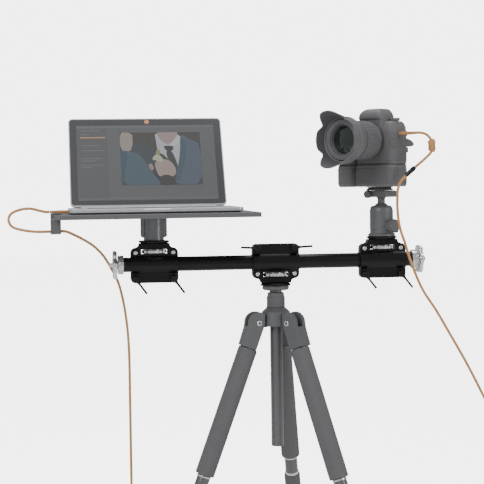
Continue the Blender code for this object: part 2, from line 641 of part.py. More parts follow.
def camera():
    seam = GRIP_HEIGHT
    top = seam + BODY_HEIGHT
    grip = camera_block(0.040, 0.050, ((0.003, 0), (0, 0.003), (0, seam - GAP)))
    piece("battery_grip", grip, black_rubber, camera_frame)

    body = camera_block(MOUNT_PLANE, 0.062, ((0, seam), (0, top - 0.020), (0.003, top - 0.008), (0.009, top)))
    prism = loft([[(x, y, z) for x, y in rounded(w, d, 0.006, 2, 0, yc)] for w, d, yc, z in
                  ((0.068, 0.047, -0.0125, top - 0.012), (0.066, 0.047, -0.0125, top + 0.003),
                   (0.062, 0.055, -0.0145, top + 0.007), (0.048, 0.046, -0.0120, top + 0.022),
                   (0.040, 0.036, -0.0100, top + PRISM_RISE))])
    body = joined(body, prism)
    socket = box((CAMERA_SIDE - 0.006, PORT_Y - PORT_HALF_WIDTH, PORT_Z - 0.0022),
                 (CAMERA_SIDE + 0.01, PORT_Y + PORT_HALF_WIDTH, PORT_Z + 0.0022))
    well = SHUTTER_RADIUS + RUN
    shutter = moved(turned([(well, top - 0.0035), (well, 1)], 14), *SHUTTER_PLACE)
    bore = DIAL_PIN_RADIUS + RUN
    pin = moved(turned([(bore, top - 0.006), (bore, 1)], 8), *DIAL_PLACE)
    piece("camera_body", cut(body, socket, shutter, pin), black_rubber, camera_frame)

    button = turned([(SHUTTER_RADIUS, top - 0.0018), (SHUTTER_RADIUS, top + 0.0008),
                     (SHUTTER_RADIUS - 0.001, top + 0.0014)], 14)
    piece("shutter_button", button, black_gloss, camera_frame, (*SHUTTER_PLACE, 0))
    dial = turned([(DIAL_PIN_RADIUS, top - 0.005), (DIAL_PIN_RADIUS, top + GAP), (DIAL_RADIUS, top + GAP),
                   (DIAL_RADIUS, top + 0.0065), (DIAL_RADIUS - 0.002, top + 0.0075)], 20)
    piece("mode_dial", dial, black_plastic, camera_frame, (*DIAL_PLACE, 0))


def lens_part(name, shape, material):
    start = (0, -MOUNT_PLANE - GAP, LENS_AXIS_Z)
    piece(name, pointing(shape, (0, -1, 0)), material, camera_frame, start)


def hood_reach(angle):
    """How far the hood's edge reaches at an angle round the lens: petals and notches."""
    upward = abs(math.degrees(math.asin(math.sin(angle))))
    return float(np.interp(upward, (0, 22, 35, 48, 66, 90),
                           (HOOD_SHORT, HOOD_SHORT - 0.001, HOOD_NOTCH, 0.024, 0.041, HOOD_LONG)))


def lens():
    front = LENS_LENGTH
    throat = LENS_RADIUS - 0.007
    seat_radius = LENS_RADIUS - 0.011
    recess = LENS_RADIUS - 0.004
    rise = LENS_RADIUS + 0.001
    shell = LENS_RADIUS + 0.003
    barrel = turned([(LENS_RADIUS - 0.008, 0), (LENS_RADIUS - 0.0025, 0.003), (LENS_RADIUS, 0.010),
                     (LENS_RADIUS, ZOOM_LOW - GAP), (recess, ZOOM_LOW - GAP), (recess, ZOOM_HIGH + GAP),
                     (rise, ZOOM_HIGH + GAP), (shell, ZOOM_HIGH + 0.0075), (shell, front), (throat, front),
                     (seat_radius + 0.0005, front - GLASS_DEPTH + 0.003),
                     (seat_radius, front - GLASS_DEPTH)], 32)
    lens_part("lens_barrel", barrel, black_plastic)
    rib = rise + 0.0005
    grip = turned([(recess + RUN, ZOOM_LOW), (rise, ZOOM_LOW), (rib, ZOOM_LOW + 0.001),
                   (rib, ZOOM_HIGH - 0.001), (rise, ZOOM_HIGH), (recess + RUN, ZOOM_HIGH)],
                  32, closed=True)
    lens_part("zoom_ring", grip, black_rubber)
    seat = front - GLASS_DEPTH + GAP
    edge = seat_radius - 0.0005
    glass = turned([(edge, seat), (edge, seat + 0.002), (edge * 0.75, seat + 0.0045),
                    (edge * 0.375, seat + 0.0058)], 24)
    lens_part("front_glass", glass, glass_material)

    flare = (HOOD_MOUTH - HOOD_RADIUS) / HOOD_LONG
    sides = 48

    def radius(inward):
        return lambda a: HOOD_RADIUS + flare * hood_reach(a) - inward

    def height(angle):
        return front + hood_reach(angle)

    bore = shell + RUN
    hood = turned([(bore, front - GLASS_DEPTH), (HOOD_RADIUS, front - GLASS_DEPTH), (HOOD_RADIUS, front),
                   (radius(0), height), (radius(HOOD_WALL), height),
                   (HOOD_RADIUS - HOOD_WALL, front + 0.001), (bore, front - 0.004)], sides, closed=True)
    lens_part("lens_hood", hood, black_plastic)


# Tripod -----------------------------------------------------------------------------------------

def top_plate():
    """The plate that the middle bracket stands on, with the stud that its wheel nut draws down."""
    high = -PLATFORM_FACE - GAP
    low = high - TOP_PLATE_THICK
    plug = COLUMN_RADIUS - COLUMN_WALL - RUN
    profile = [(plug, low - 0.018), (plug, low), (TOP_PLATE_RADIUS - 0.003, low),
               (TOP_PLATE_RADIUS, low + 0.003), (TOP_PLATE_RADIUS, high), (STUD_RADIUS, high),
               (STUD_RADIUS, 0.004 - WHEEL_Z)]
    piece("top_plate", turned(profile, 28), black_plastic, tripod_top)


def centre_column():
    high = -PLATFORM_FACE - 2 * GAP - TOP_PLATE_THICK
    inner = COLUMN_RADIUS - COLUMN_WALL
    low = high - COLUMN_LENGTH
    column = turned([(inner, low), (COLUMN_RADIUS, low), (COLUMN_RADIUS, high), (inner, high)],
                    24, closed=True)
    piece("centre_column", column, black_gloss, tripod_top)


def column_collar():
    bore = COLUMN_RADIUS + RUN
    collar = turned([(bore, COLLAR_LOW), (COLLAR_RADIUS, COLLAR_LOW), (COLLAR_RADIUS, COLLAR_HIGH - 0.009),
                     (bore + 0.0024, COLLAR_HIGH), (bore, COLLAR_HIGH)], 28, closed=True)
    piece("column_collar", collar, black_rubber, tripod_top)


def tripod_shoulder():
    """The hub, and a lug for each leg with a hole for the leg's pin."""
    bore = COLUMN_RADIUS + RUN
    high = COLLAR_LOW - GAP
    hub = turned([(bore, SHOULDER_LOW), (SHOULDER_RADIUS, SHOULDER_LOW), (SHOULDER_RADIUS, high - 0.0097),
                  (SHOULDER_RADIUS - 0.007, high - 0.0032), (SHOULDER_RADIUS - 0.010, high), (bore, high)],
                 30, closed=True)
    root = SHOULDER_RADIUS - 0.009
    for azimuth in LEG_AZIMUTHS:
        outline = [(root, -LUG_RADIUS), *arc(PIVOT_RADIUS, 0, LUG_RADIUS, -90, 90, 4), (root, LUG_RADIUS)]
        lug = moved(upright(slab(outline, -LUG_HALF, LUG_HALF)), z=-PIVOT_DROP)
        hole = pointing(turned([(PIN_RADIUS + RUN, -0.03), (PIN_RADIUS + RUN, 0.03)], 12), (0, 1, 0),
                        (PIVOT_RADIUS, 0, -PIVOT_DROP))
        turn = Matrix.Rotation(math.radians(azimuth), 4, "Z")
        hub = joined(hub, placed(cut(lug, hole), turn))
    piece("tripod_shoulder", hub, grey_metal, tripod_top)


def upper_leg():
    """The forked casting, the foam grip and the outer tube; z = 0 is the pivot, and -z is down the leg."""
    outline = [(-0.0135, -CASTING_DROP), (0.0185, -CASTING_DROP), (0.0200, -0.020)]
    outline += arc(0, 0, 0.024, -25, 103, 6)
    outline += [(-0.0135, 0.0)]
    fork = upright(slab(outline, -CASTING_HALF, CASTING_HALF))
    fork = cut(fork, box((-1, -LUG_HALF - GAP, -0.0145), (1, LUG_HALF + GAP, 1)))
    pin = turned([(PIN_RADIUS, -CASTING_HALF - 0.002), (PIN_RADIUS, CASTING_HALF + 0.002)], 12)
    bore = INNER_RADIUS + RUN
    shaft = turned([(bore, -0.075), (bore, -TUBE_END), (TUBE_RADIUS, -TUBE_END),
                    (TUBE_RADIUS, -FOAM_END), (FOAM_RADIUS, -FOAM_END),
                    (FOAM_RADIUS, -CASTING_DROP - 0.003), (0.0165, -CASTING_DROP + 0.001)], 20)
    return joined(fork, shaft, pointing(pin, (0, 1, 0)))


def lower_leg():
    angles = np.linspace(0.9, -math.pi / 2 + 0.2, 5)
    profile = [(INNER_RADIUS, -0.080), (INNER_RADIUS, -FOOT_CENTRE + 0.024),
               (INNER_RADIUS + 0.0022, -FOOT_CENTRE + 0.020)]
    profile += [(FOOT_RADIUS * math.cos(a), -FOOT_CENTRE + FOOT_RADIUS * math.sin(a)) for a in angles]
    return turned(profile, 16)


def leg_lock():
    bore = INNER_RADIUS + RUN
    high = -TUBE_END - GAP
    return turned([(bore, high - LOCK_LENGTH), (TUBE_RADIUS + 0.0005, high - LOCK_LENGTH),
                   (LOCK_RADIUS, high - LOCK_LENGTH + 0.004), (LOCK_RADIUS, high), (bore, high)],
                  20, closed=True)


def legs():
    for name, azimuth in zip(LEG_NAMES, LEG_AZIMUTHS):
        turn = math.radians(azimuth)
        place = (PIVOT_RADIUS * math.cos(turn), PIVOT_RADIUS * math.sin(turn), PIVOT_HEIGHT)
        leg = frame_at(name + "_leg", rig, place, (0, -SPLAY, turn))
        piece(name + "_upper_leg", upper_leg(), black_rubber, leg)
        piece(name + "_leg_lock", leg_lock(), black_rubber, leg)
        piece(name + "_lower_leg", lower_leg(), black_gloss, leg)


# Leads ------------------------------------------------------------------------------------------

def smooth_route(points, count):
    """Points on a centripetal Catmull-Rom curve through the route's points, closer in the bends.

    The first and the last stretch stay straight, in line with what the lead leaves and enters.
    """
    route = np.array(points)
    route = np.vstack([2 * route[0] - route[1], route, 2 * route[-1] - route[-2]])
    dense = []
    for i in range(1, len(route) - 2):
        p0, p1, p2, p3 = route[i - 1:i + 3]
        t1 = np.linalg.norm(p1 - p0) ** 0.5
        t2 = t1 + np.linalg.norm(p2 - p1) ** 0.5
        t3 = t2 + np.linalg.norm(p3 - p2) ** 0.5
        t = np.linspace(t1, t2, 24, endpoint=False)[:, None]
        a1 = (t1 - t) / t1 * p0 + t / t1 * p1
        a2 = (t2 - t) / (t2 - t1) * p1 + (t - t1) / (t2 - t1) * p2
        a3 = (t3 - t) / (t3 - t2) * p2 + (t - t2) / (t3 - t2) * p3
        b1 = (t2 - t) / t2 * a1 + t / t2 * a2
        b2 = (t3 - t) / (t3 - t1) * a2 + (t - t1) / (t3 - t1) * a3
        dense.append((t2 - t) / (t2 - t1) * b1 + (t - t1) / (t2 - t1) * b2)
    dense = np.vstack([*dense[1:-1], route[-3:-2]])
    runs = np.diff(dense, axis=0)
    lengths = np.linalg.norm(runs, axis=1)
    turns = np.linalg.norm(np.diff(runs / lengths[:, None], axis=0, append=0), axis=1)
    turns[-1] = 0
    steps = np.concatenate([[0], np.cumsum(lengths + BEND_SHARE * turns)])
    even = np.linspace(0, steps[-1], count - 2)
    inner = np.column_stack([np.interp(even, steps, dense[:, k]) for k in range(3)])
    inner[:, 2] = np.maximum(inner[:, 2], FLOOR_Z)
    return np.vstack([route[1:2], inner, route[-2:-1]])


def lead(name, route):
    curve = bpy.data.curves.new(name, "CURVE")
    curve.dimensions = "3D"
    curve.bevel_depth = LEAD_RADIUS
    curve.bevel_resolution = 2
    curve.use_fill_caps = True
    spline = curve.splines.new("POLY")
    points = smooth_route(route, LEAD_POINTS)
    spline.points.add(len(points) - 1)
    for point, place in zip(spline.points, points):
        point.co = (*place, 1)
    curve.materials.append(orange_jacket)
    obj = bpy.data.objects.new(name, curve)
    bpy.context.collection.objects.link(obj)
    obj.parent = rig


def plug(name, parent, place, direction, length, width, height):
    """A moulded plug: a metal tongue, a flat body and a tapered strain relief along its own z."""
    end = length + 0.018
    body = loft([[(x, y, z) for x, y in rounded(w, h, 0.0026, 2)] for w, h, z in
                 ((width, height, GAP), (width, height, length - 0.003),
                  (width - 0.004, height - 0.0008, length))])
    tongue = slab(rounded(0.0082, 0.0026, 0.0012, 1), -0.0055, 0.002)
    boot = turned([(0.0036, length - 0.003), (0.0031, end)], 10)
    shape = joined(body, tongue, boot)
    piece(name, pointing(shape, direction), black_plastic, parent, place)


def leads():
    lead_z = BAR_HEIGHT + CLIP_HOLE_Z
    port_z = BAR_HEIGHT + PORT_HEIGHT
    plug("laptop_plug", laptop_side, (-LAPTOP_WIDTH / 2, LAPTOP_PORT_Y, PORT_HEIGHT), (-1, 0, 0),
         0.0230, 0.0120, 0.0068)
    lead("laptop_lead", [(x, y, z) for x, y, z in (
        (-0.4914, -0.060, port_z), (-0.4990, -0.060, port_z), (-0.5110, -0.060, 0.7765),
        (-0.5319, -0.062, 0.7815),
        (-0.5548, -0.066, 0.7791), (-0.5715, -0.070, 0.7711), (-0.5767, -0.078, 0.7588),
        (-0.5696, -0.086, 0.7450), (-0.5428, -0.095, 0.7365), (-0.5150, CLIP_Y, lead_z),
        (-0.4990, CLIP_Y, lead_z), (-0.4800, CLIP_Y, lead_z), (-0.4600, CLIP_Y, lead_z),
        (-0.4392, -0.090, 0.7245),
        (-0.4070, -0.050, 0.7051), (-0.3888, -0.010, 0.6891), (-0.3725, 0.030, 0.6694),
        (-0.3587, 0.055, 0.6458), (-0.3433, 0.065, 0.6138), (-0.3327, 0.070, 0.5731),
        (-0.3245, 0.075, 0.5167), (-0.3207, 0.080, 0.4601), (-0.3199, 0.086, 0.3395),
        (-0.3195, 0.094, 0.1600), (-0.3190, 0.100, 0.0500), (-0.3160, 0.110, 0.0120),
        (-0.3080, 0.135, FLOOR_Z), (-0.2850, 0.180, FLOOR_Z), (-0.2300, 0.235, FLOOR_Z),
        (-0.1500, 0.275, FLOOR_Z), (-0.0700, 0.289, FLOOR_Z), (-0.0390, 0.290, FLOOR_Z))])
    plug("camera_plug", camera_frame, (CAMERA_SIDE, PORT_Y, PORT_Z), (1, 0, 0), 0.0240, 0.0120, 0.0075)
    lead("camera_lead", [
        (0.2977, -0.0874, 0.9328), (0.3019, -0.0928, 0.9328), (0.3110, -0.0985, 0.9313),
        (0.3203, -0.0985, 0.9267),
        (0.3288, -0.0960, 0.9164), (0.3309, -0.0960, 0.9013), (0.3286, -0.0960, 0.8905),
        (0.3131, -0.0950, 0.8746), (0.2891, -0.0930, 0.8544), (0.2731, -0.0900, 0.8395),
        (0.2624, -0.0880, 0.8267), (0.2572, -0.0860, 0.8116), (0.2562, -0.0840, 0.7943),
        (0.2573, -0.0800, 0.7639), (0.2633, -0.0760, 0.7268), (0.2746, -0.0740, 0.6938),
        (0.2879, -0.0730, 0.6521), (0.3123, -0.0750, 0.5926), (0.3416, -0.0780, 0.5462),
        (0.3721, -0.0800, 0.4929), (0.4071, -0.0820, 0.4305), (0.4463, -0.0850, 0.3526),
        (0.4900, -0.0880, 0.2600), (0.5300, -0.0880, 0.1700), (0.5600, -0.0780, 0.0850),
        (0.5730, -0.0600, 0.0280), (0.5750, -0.0300, FLOOR_Z), (0.5600, 0.0500, FLOOR_Z),
        (0.5000, 0.1300, FLOOR_Z), (0.4000, 0.2050, FLOOR_Z), (0.2800, 0.2600, FLOOR_Z),
        (0.1500, 0.2860, FLOOR_Z), (0.0700, 0.2900, FLOOR_Z), (0.0390, 0.2900, FLOOR_Z)])
    half = 0.020
    body = loft([[(x, y, z) for x, y in rounded(w, h, 0.003, 2)] for w, h, z in
                 ((0.013, 0.0075, -half), (0.016, 0.0095, 0.003 - half), (0.016, 0.0095, half - 0.003),
                  (0.013, 0.0075, half))])
    boots = turned([(0.0031, -0.0385), (0.0034, -half), (0.0034, half), (0.0031, 0.0385)], 12)
    body = joined(body, moved(boots, x=0.0016))
    piece("lead_coupler", pointing(body, (1, 0, 0)), black_plastic, rig,
          (0, 0.290, FLOOR_Z + 0.0016))


# Assembly ---------------------------------------------------------------------------------------

def centre_on_floor():
    """Moves the rig so that its box, without the leads and what is on them, stands on the origin."""
    skip = ("laptop_lead", "camera_lead", "laptop_plug", "camera_plug", "lead_coupler")
    bpy.context.view_layer.update()
    corners = []
    for obj in bpy.data.objects:
        if obj.type == "MESH" and obj.name not in skip:
            corners += [obj.matrix_world @ vertex.co for vertex in obj.data.vertices]
    low = Vector([min(c[k] for c in corners) for k in range(3)])
    high = Vector([max(c[k] for c in corners) for k in range(3)])
    middle = (low + high) / 2
    rig.location = (-middle.x, -middle.y, -low.z)
    bpy.context.view_layer.update()


clear_scene()
black_satin = finish("black_satin_anodised", (0.012, 0.012, 0.013), 0.38, 0.6)
black_gloss = finish("black_gloss", (0.015, 0.015, 0.016), 0.25, 0.3)
black_plastic = finish("dark_grey_plastic", (0.10, 0.10, 0.10), 0.5, 0.0)
black_rubber = finish("dark_grey_rubber", (0.09, 0.09, 0.09), 0.75, 0.0)
grey_metal = finish("grey_cast_metal", (0.13, 0.13, 0.13), 0.45, 0.5)
grey_plastic = finish("grey_plastic", (0.12, 0.12, 0.12), 0.55, 0.0)
laptop_alloy = finish("laptop_aluminium", (0.50, 0.50, 0.51), 0.4, 0.8)
silver = finish("silver_aluminium", (0.70, 0.70, 0.71), 0.35, 1.0)
bright_steel = finish("bright_steel", (0.80, 0.80, 0.80), 0.15, 1.0)
glass_material = finish("coated_glass", (0.05, 0.07, 0.06), 0.05, 0.0)
orange_jacket = finish("orange_jacket", (0.60, 0.27, 0.08), 0.5, 0.0)

rig = frame_at("rig")
tripod_top = frame_at("tripod_top", rig, (0, 0, BAR_HEIGHT))
laptop_side = frame_at("laptop_side", rig, (LEFT_BRACKET_X, 0, BAR_HEIGHT))
head_side = frame_at("head_side", rig, (RIGHT_BRACKET_X, 0, BAR_HEIGHT))
camera_side = frame_at("camera_side", head_side, (0, 0, 0), (0, 0, CAMERA_YAW))
camera_frame = frame_at("camera_frame", camera_side, (0, 0, CAMERA_FOOT))

cross_bar()
bar_ends()
bracket("left", LEFT_BRACKET_X, 1, (-54, -54), PLATFORM_FACE + BRACKET_STUD_PROUD)
bracket("middle", 0, -1, (176, 4), None)
bracket("right", RIGHT_BRACKET_X, 1, (-54, -54), PLATFORM_FACE + BRACKET_STUD_PROUD)
tray()
tray_mount()
cable_clip()
laptop()
ball_housing()
ball_stem()
camera()
lens()
top_plate()
centre_column()
column_collar()
tripod_shoulder()
legs()
leads()
centre_on_floor()
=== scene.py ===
import json
import math
import bmesh
import bpy
import numpy as np
from mathutils import Matrix, Vector


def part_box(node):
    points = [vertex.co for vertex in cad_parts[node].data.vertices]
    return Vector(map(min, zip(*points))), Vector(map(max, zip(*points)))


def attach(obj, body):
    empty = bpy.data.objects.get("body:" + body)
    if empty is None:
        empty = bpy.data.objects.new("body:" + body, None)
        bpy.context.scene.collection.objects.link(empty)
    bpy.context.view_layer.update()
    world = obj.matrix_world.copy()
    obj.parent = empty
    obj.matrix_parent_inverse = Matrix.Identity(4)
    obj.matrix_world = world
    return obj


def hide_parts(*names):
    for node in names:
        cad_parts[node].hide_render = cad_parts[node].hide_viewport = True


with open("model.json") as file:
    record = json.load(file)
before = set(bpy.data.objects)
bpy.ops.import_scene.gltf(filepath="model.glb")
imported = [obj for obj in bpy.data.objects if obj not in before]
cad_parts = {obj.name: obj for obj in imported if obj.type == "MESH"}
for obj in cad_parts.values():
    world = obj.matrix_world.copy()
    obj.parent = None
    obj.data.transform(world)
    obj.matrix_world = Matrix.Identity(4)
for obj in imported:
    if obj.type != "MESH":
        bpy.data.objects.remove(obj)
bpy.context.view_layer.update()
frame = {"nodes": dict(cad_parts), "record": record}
bodyOf = {node: body for body, nodes in frame["record"]["behaviour"]["bodies"].items() for node in nodes}
mm = 0.001


def middle(node):   # the centre of a node's box
    low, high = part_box(node)
    return (np.array(low) + np.array(high)) / 2


columnAt = middle("centre_column")
barZ = middle("cross_bar")[2]
barAt = np.array([columnAt[0], columnAt[1], barZ])    # the tripod's axis at the bar's height
rightX = middle("right_platform")[0]
cameraYaw = math.radians(-51.9)
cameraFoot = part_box("battery_grip")[0][2]
lidLean = math.radians(28)


# numbers and colours

def linear(hexColour):   # sRGB hex to the linear values that a shader takes
    parts = np.array([int(hexColour[i:i + 2], 16) / 255 for i in (1, 3, 5)])
    return tuple(np.where(parts <= 0.04045, parts / 12.92, ((parts + 0.055) / 1.055) ** 2.4)) + (1.0,)


def addNode(tree, kind, settings=None, **inputs):   # a node with its settings, values and links
    node = tree.nodes.new(kind)
    for key, value in (settings or {}).items():
        setattr(node, key, value)
    for key, value in inputs.items():
        socket = node.inputs[int(key[1:])] if key[0] == "i" and key[1:].isdigit() else node.inputs[key]
        if isinstance(value, bpy.types.NodeSocket):
            tree.links.new(value, socket)
        else:
            socket.default_value = value
    return node


def plain(name, hexColour, rough, metal=0.0, coat=0.0, specular=0.5):
    material = bpy.data.materials.new(name)
    material.use_nodes = True
    shader = material.node_tree.nodes["Principled BSDF"]
    shader.inputs["Base Color"].default_value = linear(hexColour)
    shader.inputs["Roughness"].default_value = rough
    shader.inputs["Metallic"].default_value = metal
    shader.inputs["Coat Weight"].default_value = coat
    shader.inputs["Specular IOR Level"].default_value = specular
    return material, material.node_tree, shader


def spread(tree, factor, low, high):   # a factor turned to a range
    return addNode(tree, "ShaderNodeMapRange", i0=factor, i3=low, i4=high).outputs[0]


def grained(name, look):
    # a finish from real sizes: grain in mm across, bump in mm high, and how far colour and gloss wander
    material, tree, shader = plain(name, look["colour"], look["rough"], look.get("metal", 0.0),
                                   look.get("coat", 0.0), look.get("specular", 0.5))
    where = addNode(tree, "ShaderNodeTexCoord").outputs["Object"]
    stretch = look.get("stretch", (1, 1, 1))
    where = addNode(tree, "ShaderNodeMapping", i0=where, i3=stretch).outputs[0]
    fine = addNode(tree, "ShaderNodeTexNoise", Vector=where, Scale=1 / (look["grain"] * mm), Detail=3.0)
    broad = addNode(tree, "ShaderNodeTexNoise", Vector=where, Scale=1 / (look.get("patch", 25) * mm),
                    Detail=2.0)
    both = addNode(tree, "ShaderNodeMath", {"operation": "ADD"}, i0=fine.outputs[0], i1=broad.outputs[0])
    mix = addNode(tree, "ShaderNodeMix", {"data_type": "RGBA"}, i0=spread(tree, both.outputs[0], 0.0, 1.0),
                  i6=linear(look["colour"]), i7=linear(look["worn"]))
    tree.links.new(mix.outputs[2], shader.inputs["Base Color"])
    tree.links.new(spread(tree, broad.outputs[0], look["rough"] - look["wander"],
                          look["rough"] + look["wander"]),
                   shader.inputs["Roughness"])
    bump = addNode(tree, "ShaderNodeBump", Height=fine.outputs[0], Distance=look["bump"] * mm, Strength=0.6)
    tree.links.new(bump.outputs[0], shader.inputs["Normal"])
    return material


def turnedMetal(name, look):
    # bright plated metal, with a fine noise in its gloss and height
    material, tree, shader = plain(name, look["colour"], look["rough"], 1.0)
    where = addNode(tree, "ShaderNodeTexCoord").outputs["Object"]
    marks = addNode(tree, "ShaderNodeTexNoise", Vector=where, Scale=1 / (look["grain"] * mm), Detail=4.0)
    tree.links.new(spread(tree, marks.outputs[0], look["rough"] - 0.08, look["rough"] + 0.12),
                   shader.inputs["Roughness"])
    bump = addNode(tree, "ShaderNodeBump", Height=marks.outputs[0], Distance=0.01 * mm, Strength=0.4)
    tree.links.new(bump.outputs[0], shader.inputs["Normal"])
    return material


finishes = {
    # bead-blasted aluminium, anodised black: deep, with a soft broad sheen
    "blackAnodised": {"colour": "#08080a", "worn": "#0e0e10", "rough": 0.32, "grain": 0.35, "bump": 0.02,
                      "wander": 0.06, "specular": 0.3},
    # die-cast zinc, sprayed gloss black
    "blackEnamel": {"colour": "#070708", "worn": "#0c0c0e", "rough": 0.22, "grain": 1.5, "bump": 0.02,
                    "wander": 0.05, "coat": 0.2, "specular": 0.35},
    # die-cast aluminium, painted dark grey, slightly orange-peeled
    "castGrey": {"colour": "#57585a", "worn": "#636466", "rough": 0.42, "metal": 0.25, "grain": 0.8,
                 "bump": 0.03, "wander": 0.07},
    "tubeGrey": {"colour": "#5b5b5d", "worn": "#6a6a6c", "rough": 0.3, "metal": 0.45, "grain": 0.5,
                 "bump": 0.01, "wander": 0.05, "stretch": (1, 1, 0.15)},
    # closed-cell foam sleeve: matt, with pores about a millimetre across
    "foamGrey": {"colour": "#59595b", "worn": "#676769", "rough": 0.88, "grain": 1.1, "bump": 0.25,
                 "wander": 0.05, "specular": 0.25},
    "rubberGrey": {"colour": "#58585a", "worn": "#646466", "rough": 0.7, "grain": 0.7, "bump": 0.06,
                   "wander": 0.08, "specular": 0.3},
    # sheet aluminium, powder coated: fine even texture
    "powderGrey": {"colour": "#57585b", "worn": "#626366", "rough": 0.5, "metal": 0.1, "grain": 0.6,
                   "bump": 0.05, "wander": 0.06},
    "postGrey": {"colour": "#6c6d70", "worn": "#7b7c7f", "rough": 0.26, "metal": 0.7, "grain": 0.5,
                 "bump": 0.01, "wander": 0.05},
    # grained ABS of a camera's shell, and its leather-grained rubber skin
    "cameraShell": {"colour": "#5c5c5e", "worn": "#69696b", "rough": 0.52, "grain": 0.45, "bump": 0.06,
                    "wander": 0.05, "specular": 0.4},
    "cameraSkin": {"colour": "#565658", "worn": "#646466", "rough": 0.72, "grain": 1.4, "bump": 0.3,
                   "wander": 0.08, "specular": 0.3},
    "lensShell": {"colour": "#5a5a5c", "worn": "#666668", "rough": 0.36, "metal": 0.15, "grain": 0.5,
                  "bump": 0.02, "wander": 0.05},
    "hoodPlastic": {"colour": "#58585a", "worn": "#646466", "rough": 0.46, "grain": 0.6, "bump": 0.03,
                    "wander": 0.05},
    # bead-blasted aluminium of a laptop
    "laptopSilver": {"colour": "#c3c4c6", "worn": "#d0d1d3", "rough": 0.36, "metal": 0.45, "grain": 0.3,
                     "bump": 0.012, "wander": 0.04},
    "keyBlack": {"colour": "#3c3c3e", "worn": "#464648", "rough": 0.6, "grain": 0.5, "bump": 0.02,
                 "wander": 0.04},
    "plugOrange": {"colour": "#b47d4c", "worn": "#c08a58", "rough": 0.46, "grain": 0.6, "bump": 0.03,
                   "wander": 0.05},
    "silverAnodised": {"colour": "#d2d3d5", "worn": "#dedfe1", "rough": 0.26, "metal": 0.9, "grain": 0.4,
                       "bump": 0.01, "wander": 0.05},
}
made = {name: grained(name, look) for name, look in finishes.items()}
chrome = turnedMetal("platedSteel", {"colour": "#eeeeef", "rough": 0.2, "grain": 0.4})
print("finishes made")


# shapes: every surface is an array of rows by columns by xyz, worked out whole

def roundOff(points, radius, steps=4):
    # each inner corner of a profile becomes a curve: (1-t)^2 of the way in, 2t(1-t) of the corner, t^2 of
    # the way out
    points = np.array(points, float)
    before, at, after = points[:-2], points[1:-1], points[2:]
    back, ahead = before - at, after - at
    backLength = np.linalg.norm(back, axis=1, keepdims=True)
    aheadLength = np.linalg.norm(ahead, axis=1, keepdims=True)
    start = at + back / backLength * np.minimum(radius, backLength * 0.45)
    end = at + ahead / aheadLength * np.minimum(radius, aheadLength * 0.45)
    t = np.linspace(0, 1, steps + 1)[None, :, None]
    curves = (1 - t) ** 2 * start[:, None] + 2 * t * (1 - t) * at[:, None] + t ** 2 * end[:, None]
    return np.vstack([points[:1], curves.reshape(-1, points.shape[1]), points[-1:]])


def roundRect(width, depth, radius, steps=6, centre=(0, 0)):
    # four quarter circles, joined by straight sides
    a = np.linspace(0, math.pi / 2, steps + 1)
    turn = np.concatenate([a + k * math.pi / 2 for k in range(4)])
    sx = np.repeat([1, -1, -1, 1], steps + 1) * (width / 2 - radius)
    sy = np.repeat([1, 1, -1, -1], steps + 1) * (depth / 2 - radius)
    return np.column_stack([centre[0] + sx + radius * np.cos(turn), centre[1] + sy + radius * np.sin(turn)])


def shrink(outline, amount):
    # an outline moved inwards along its own normals by amount
    ahead = np.roll(outline, -1, axis=0) - np.roll(outline, 1, axis=0)
    ahead = ahead / np.maximum(np.linalg.norm(ahead, axis=1, keepdims=True), 1e-9)
    return outline + np.column_stack([-ahead[:, 1], ahead[:, 0]]) * amount


def stack(outline, levels):
    # the outline carried up through (inset, height) levels
    return np.stack([np.column_stack([shrink(outline, inset), np.full(len(outline), z)]) for inset,
                     z in levels])


def softLevels(low, high, edge, steps=4):
    # levels for a block whose top and bottom edges are quarter circles of radius edge
    a = np.linspace(0, math.pi / 2, steps + 1)
    inset, rise = edge * (1 - np.sin(a)), edge * (1 - np.cos(a))
    return list(zip(inset, low + rise)) + list(zip(inset[::-1], high - rise[::-1]))


def lathe(profile, sides=64, wave=None):
    # (radius, z) turned about z; wave scales each radius by the angle
    profile = np.array(profile, float)
    angle = np.linspace(0, 2 * math.pi, sides, endpoint=False)
    scale = np.ones((len(profile), sides)) if wave is None else wave(angle[None, :], profile[:, :1])
    r = profile[:, :1] * scale
    return np.stack([r * np.cos(angle), r * np.sin(angle), np.broadcast_to(profile[:, 1:2], r.shape)],
                    axis=-1)


def tube(path, radius, sides=16):
    # a circle carried along a path, with a frame that turns as little as it can
    path = np.array(path, float)
    ahead = np.gradient(path, axis=0)
    ahead /= np.linalg.norm(ahead, axis=1, keepdims=True)
    side = np.cross(ahead, (0.13, 0.21, 0.97))
    side /= np.linalg.norm(side, axis=1, keepdims=True)
    up = np.cross(side, ahead)
    angle = np.linspace(0, 2 * math.pi, sides, endpoint=False)[None, :, None]
    radius = np.broadcast_to(np.asarray(radius, float).reshape(-1, 1, 1), (len(path), 1, 1))
    return path[:, None] + radius * (np.cos(angle) * side[:, None] + np.sin(angle) * up[:, None])


def aim(points, origin, direction):   # local z turned to direction, local zero moved to origin
    turn = np.array(Vector(direction).to_track_quat("Z", "Y").to_matrix())
    return points @ turn.T + np.array(origin)


def toCamera(points):   # the camera's own frame to the rig's
    c, s = math.cos(cameraYaw), math.sin(cameraYaw)
    points = np.asarray(points, float)
    x, y, z = points[..., 0], points[..., 1], points[..., 2]
    return np.stack([rightX + x * c - y * s, barAt[1] + x * s + y * c, cameraFoot + z], axis=-1)


def gridFaces(rows, cols, ring, start=0):
    # quads between neighbouring rows, and round to the first column
    i, j = np.meshgrid(np.arange(rows - (0 if ring else 1)), np.arange(cols), indexing="ij")
    a, b = i * cols + j, i * cols + (j + 1) % cols
    c, d = ((i + 1) % rows) * cols + (j + 1) % cols, ((i + 1) % rows) * cols + j
    return (np.stack([a, b, c, d], axis=-1).reshape(-1, 4) + start).tolist()


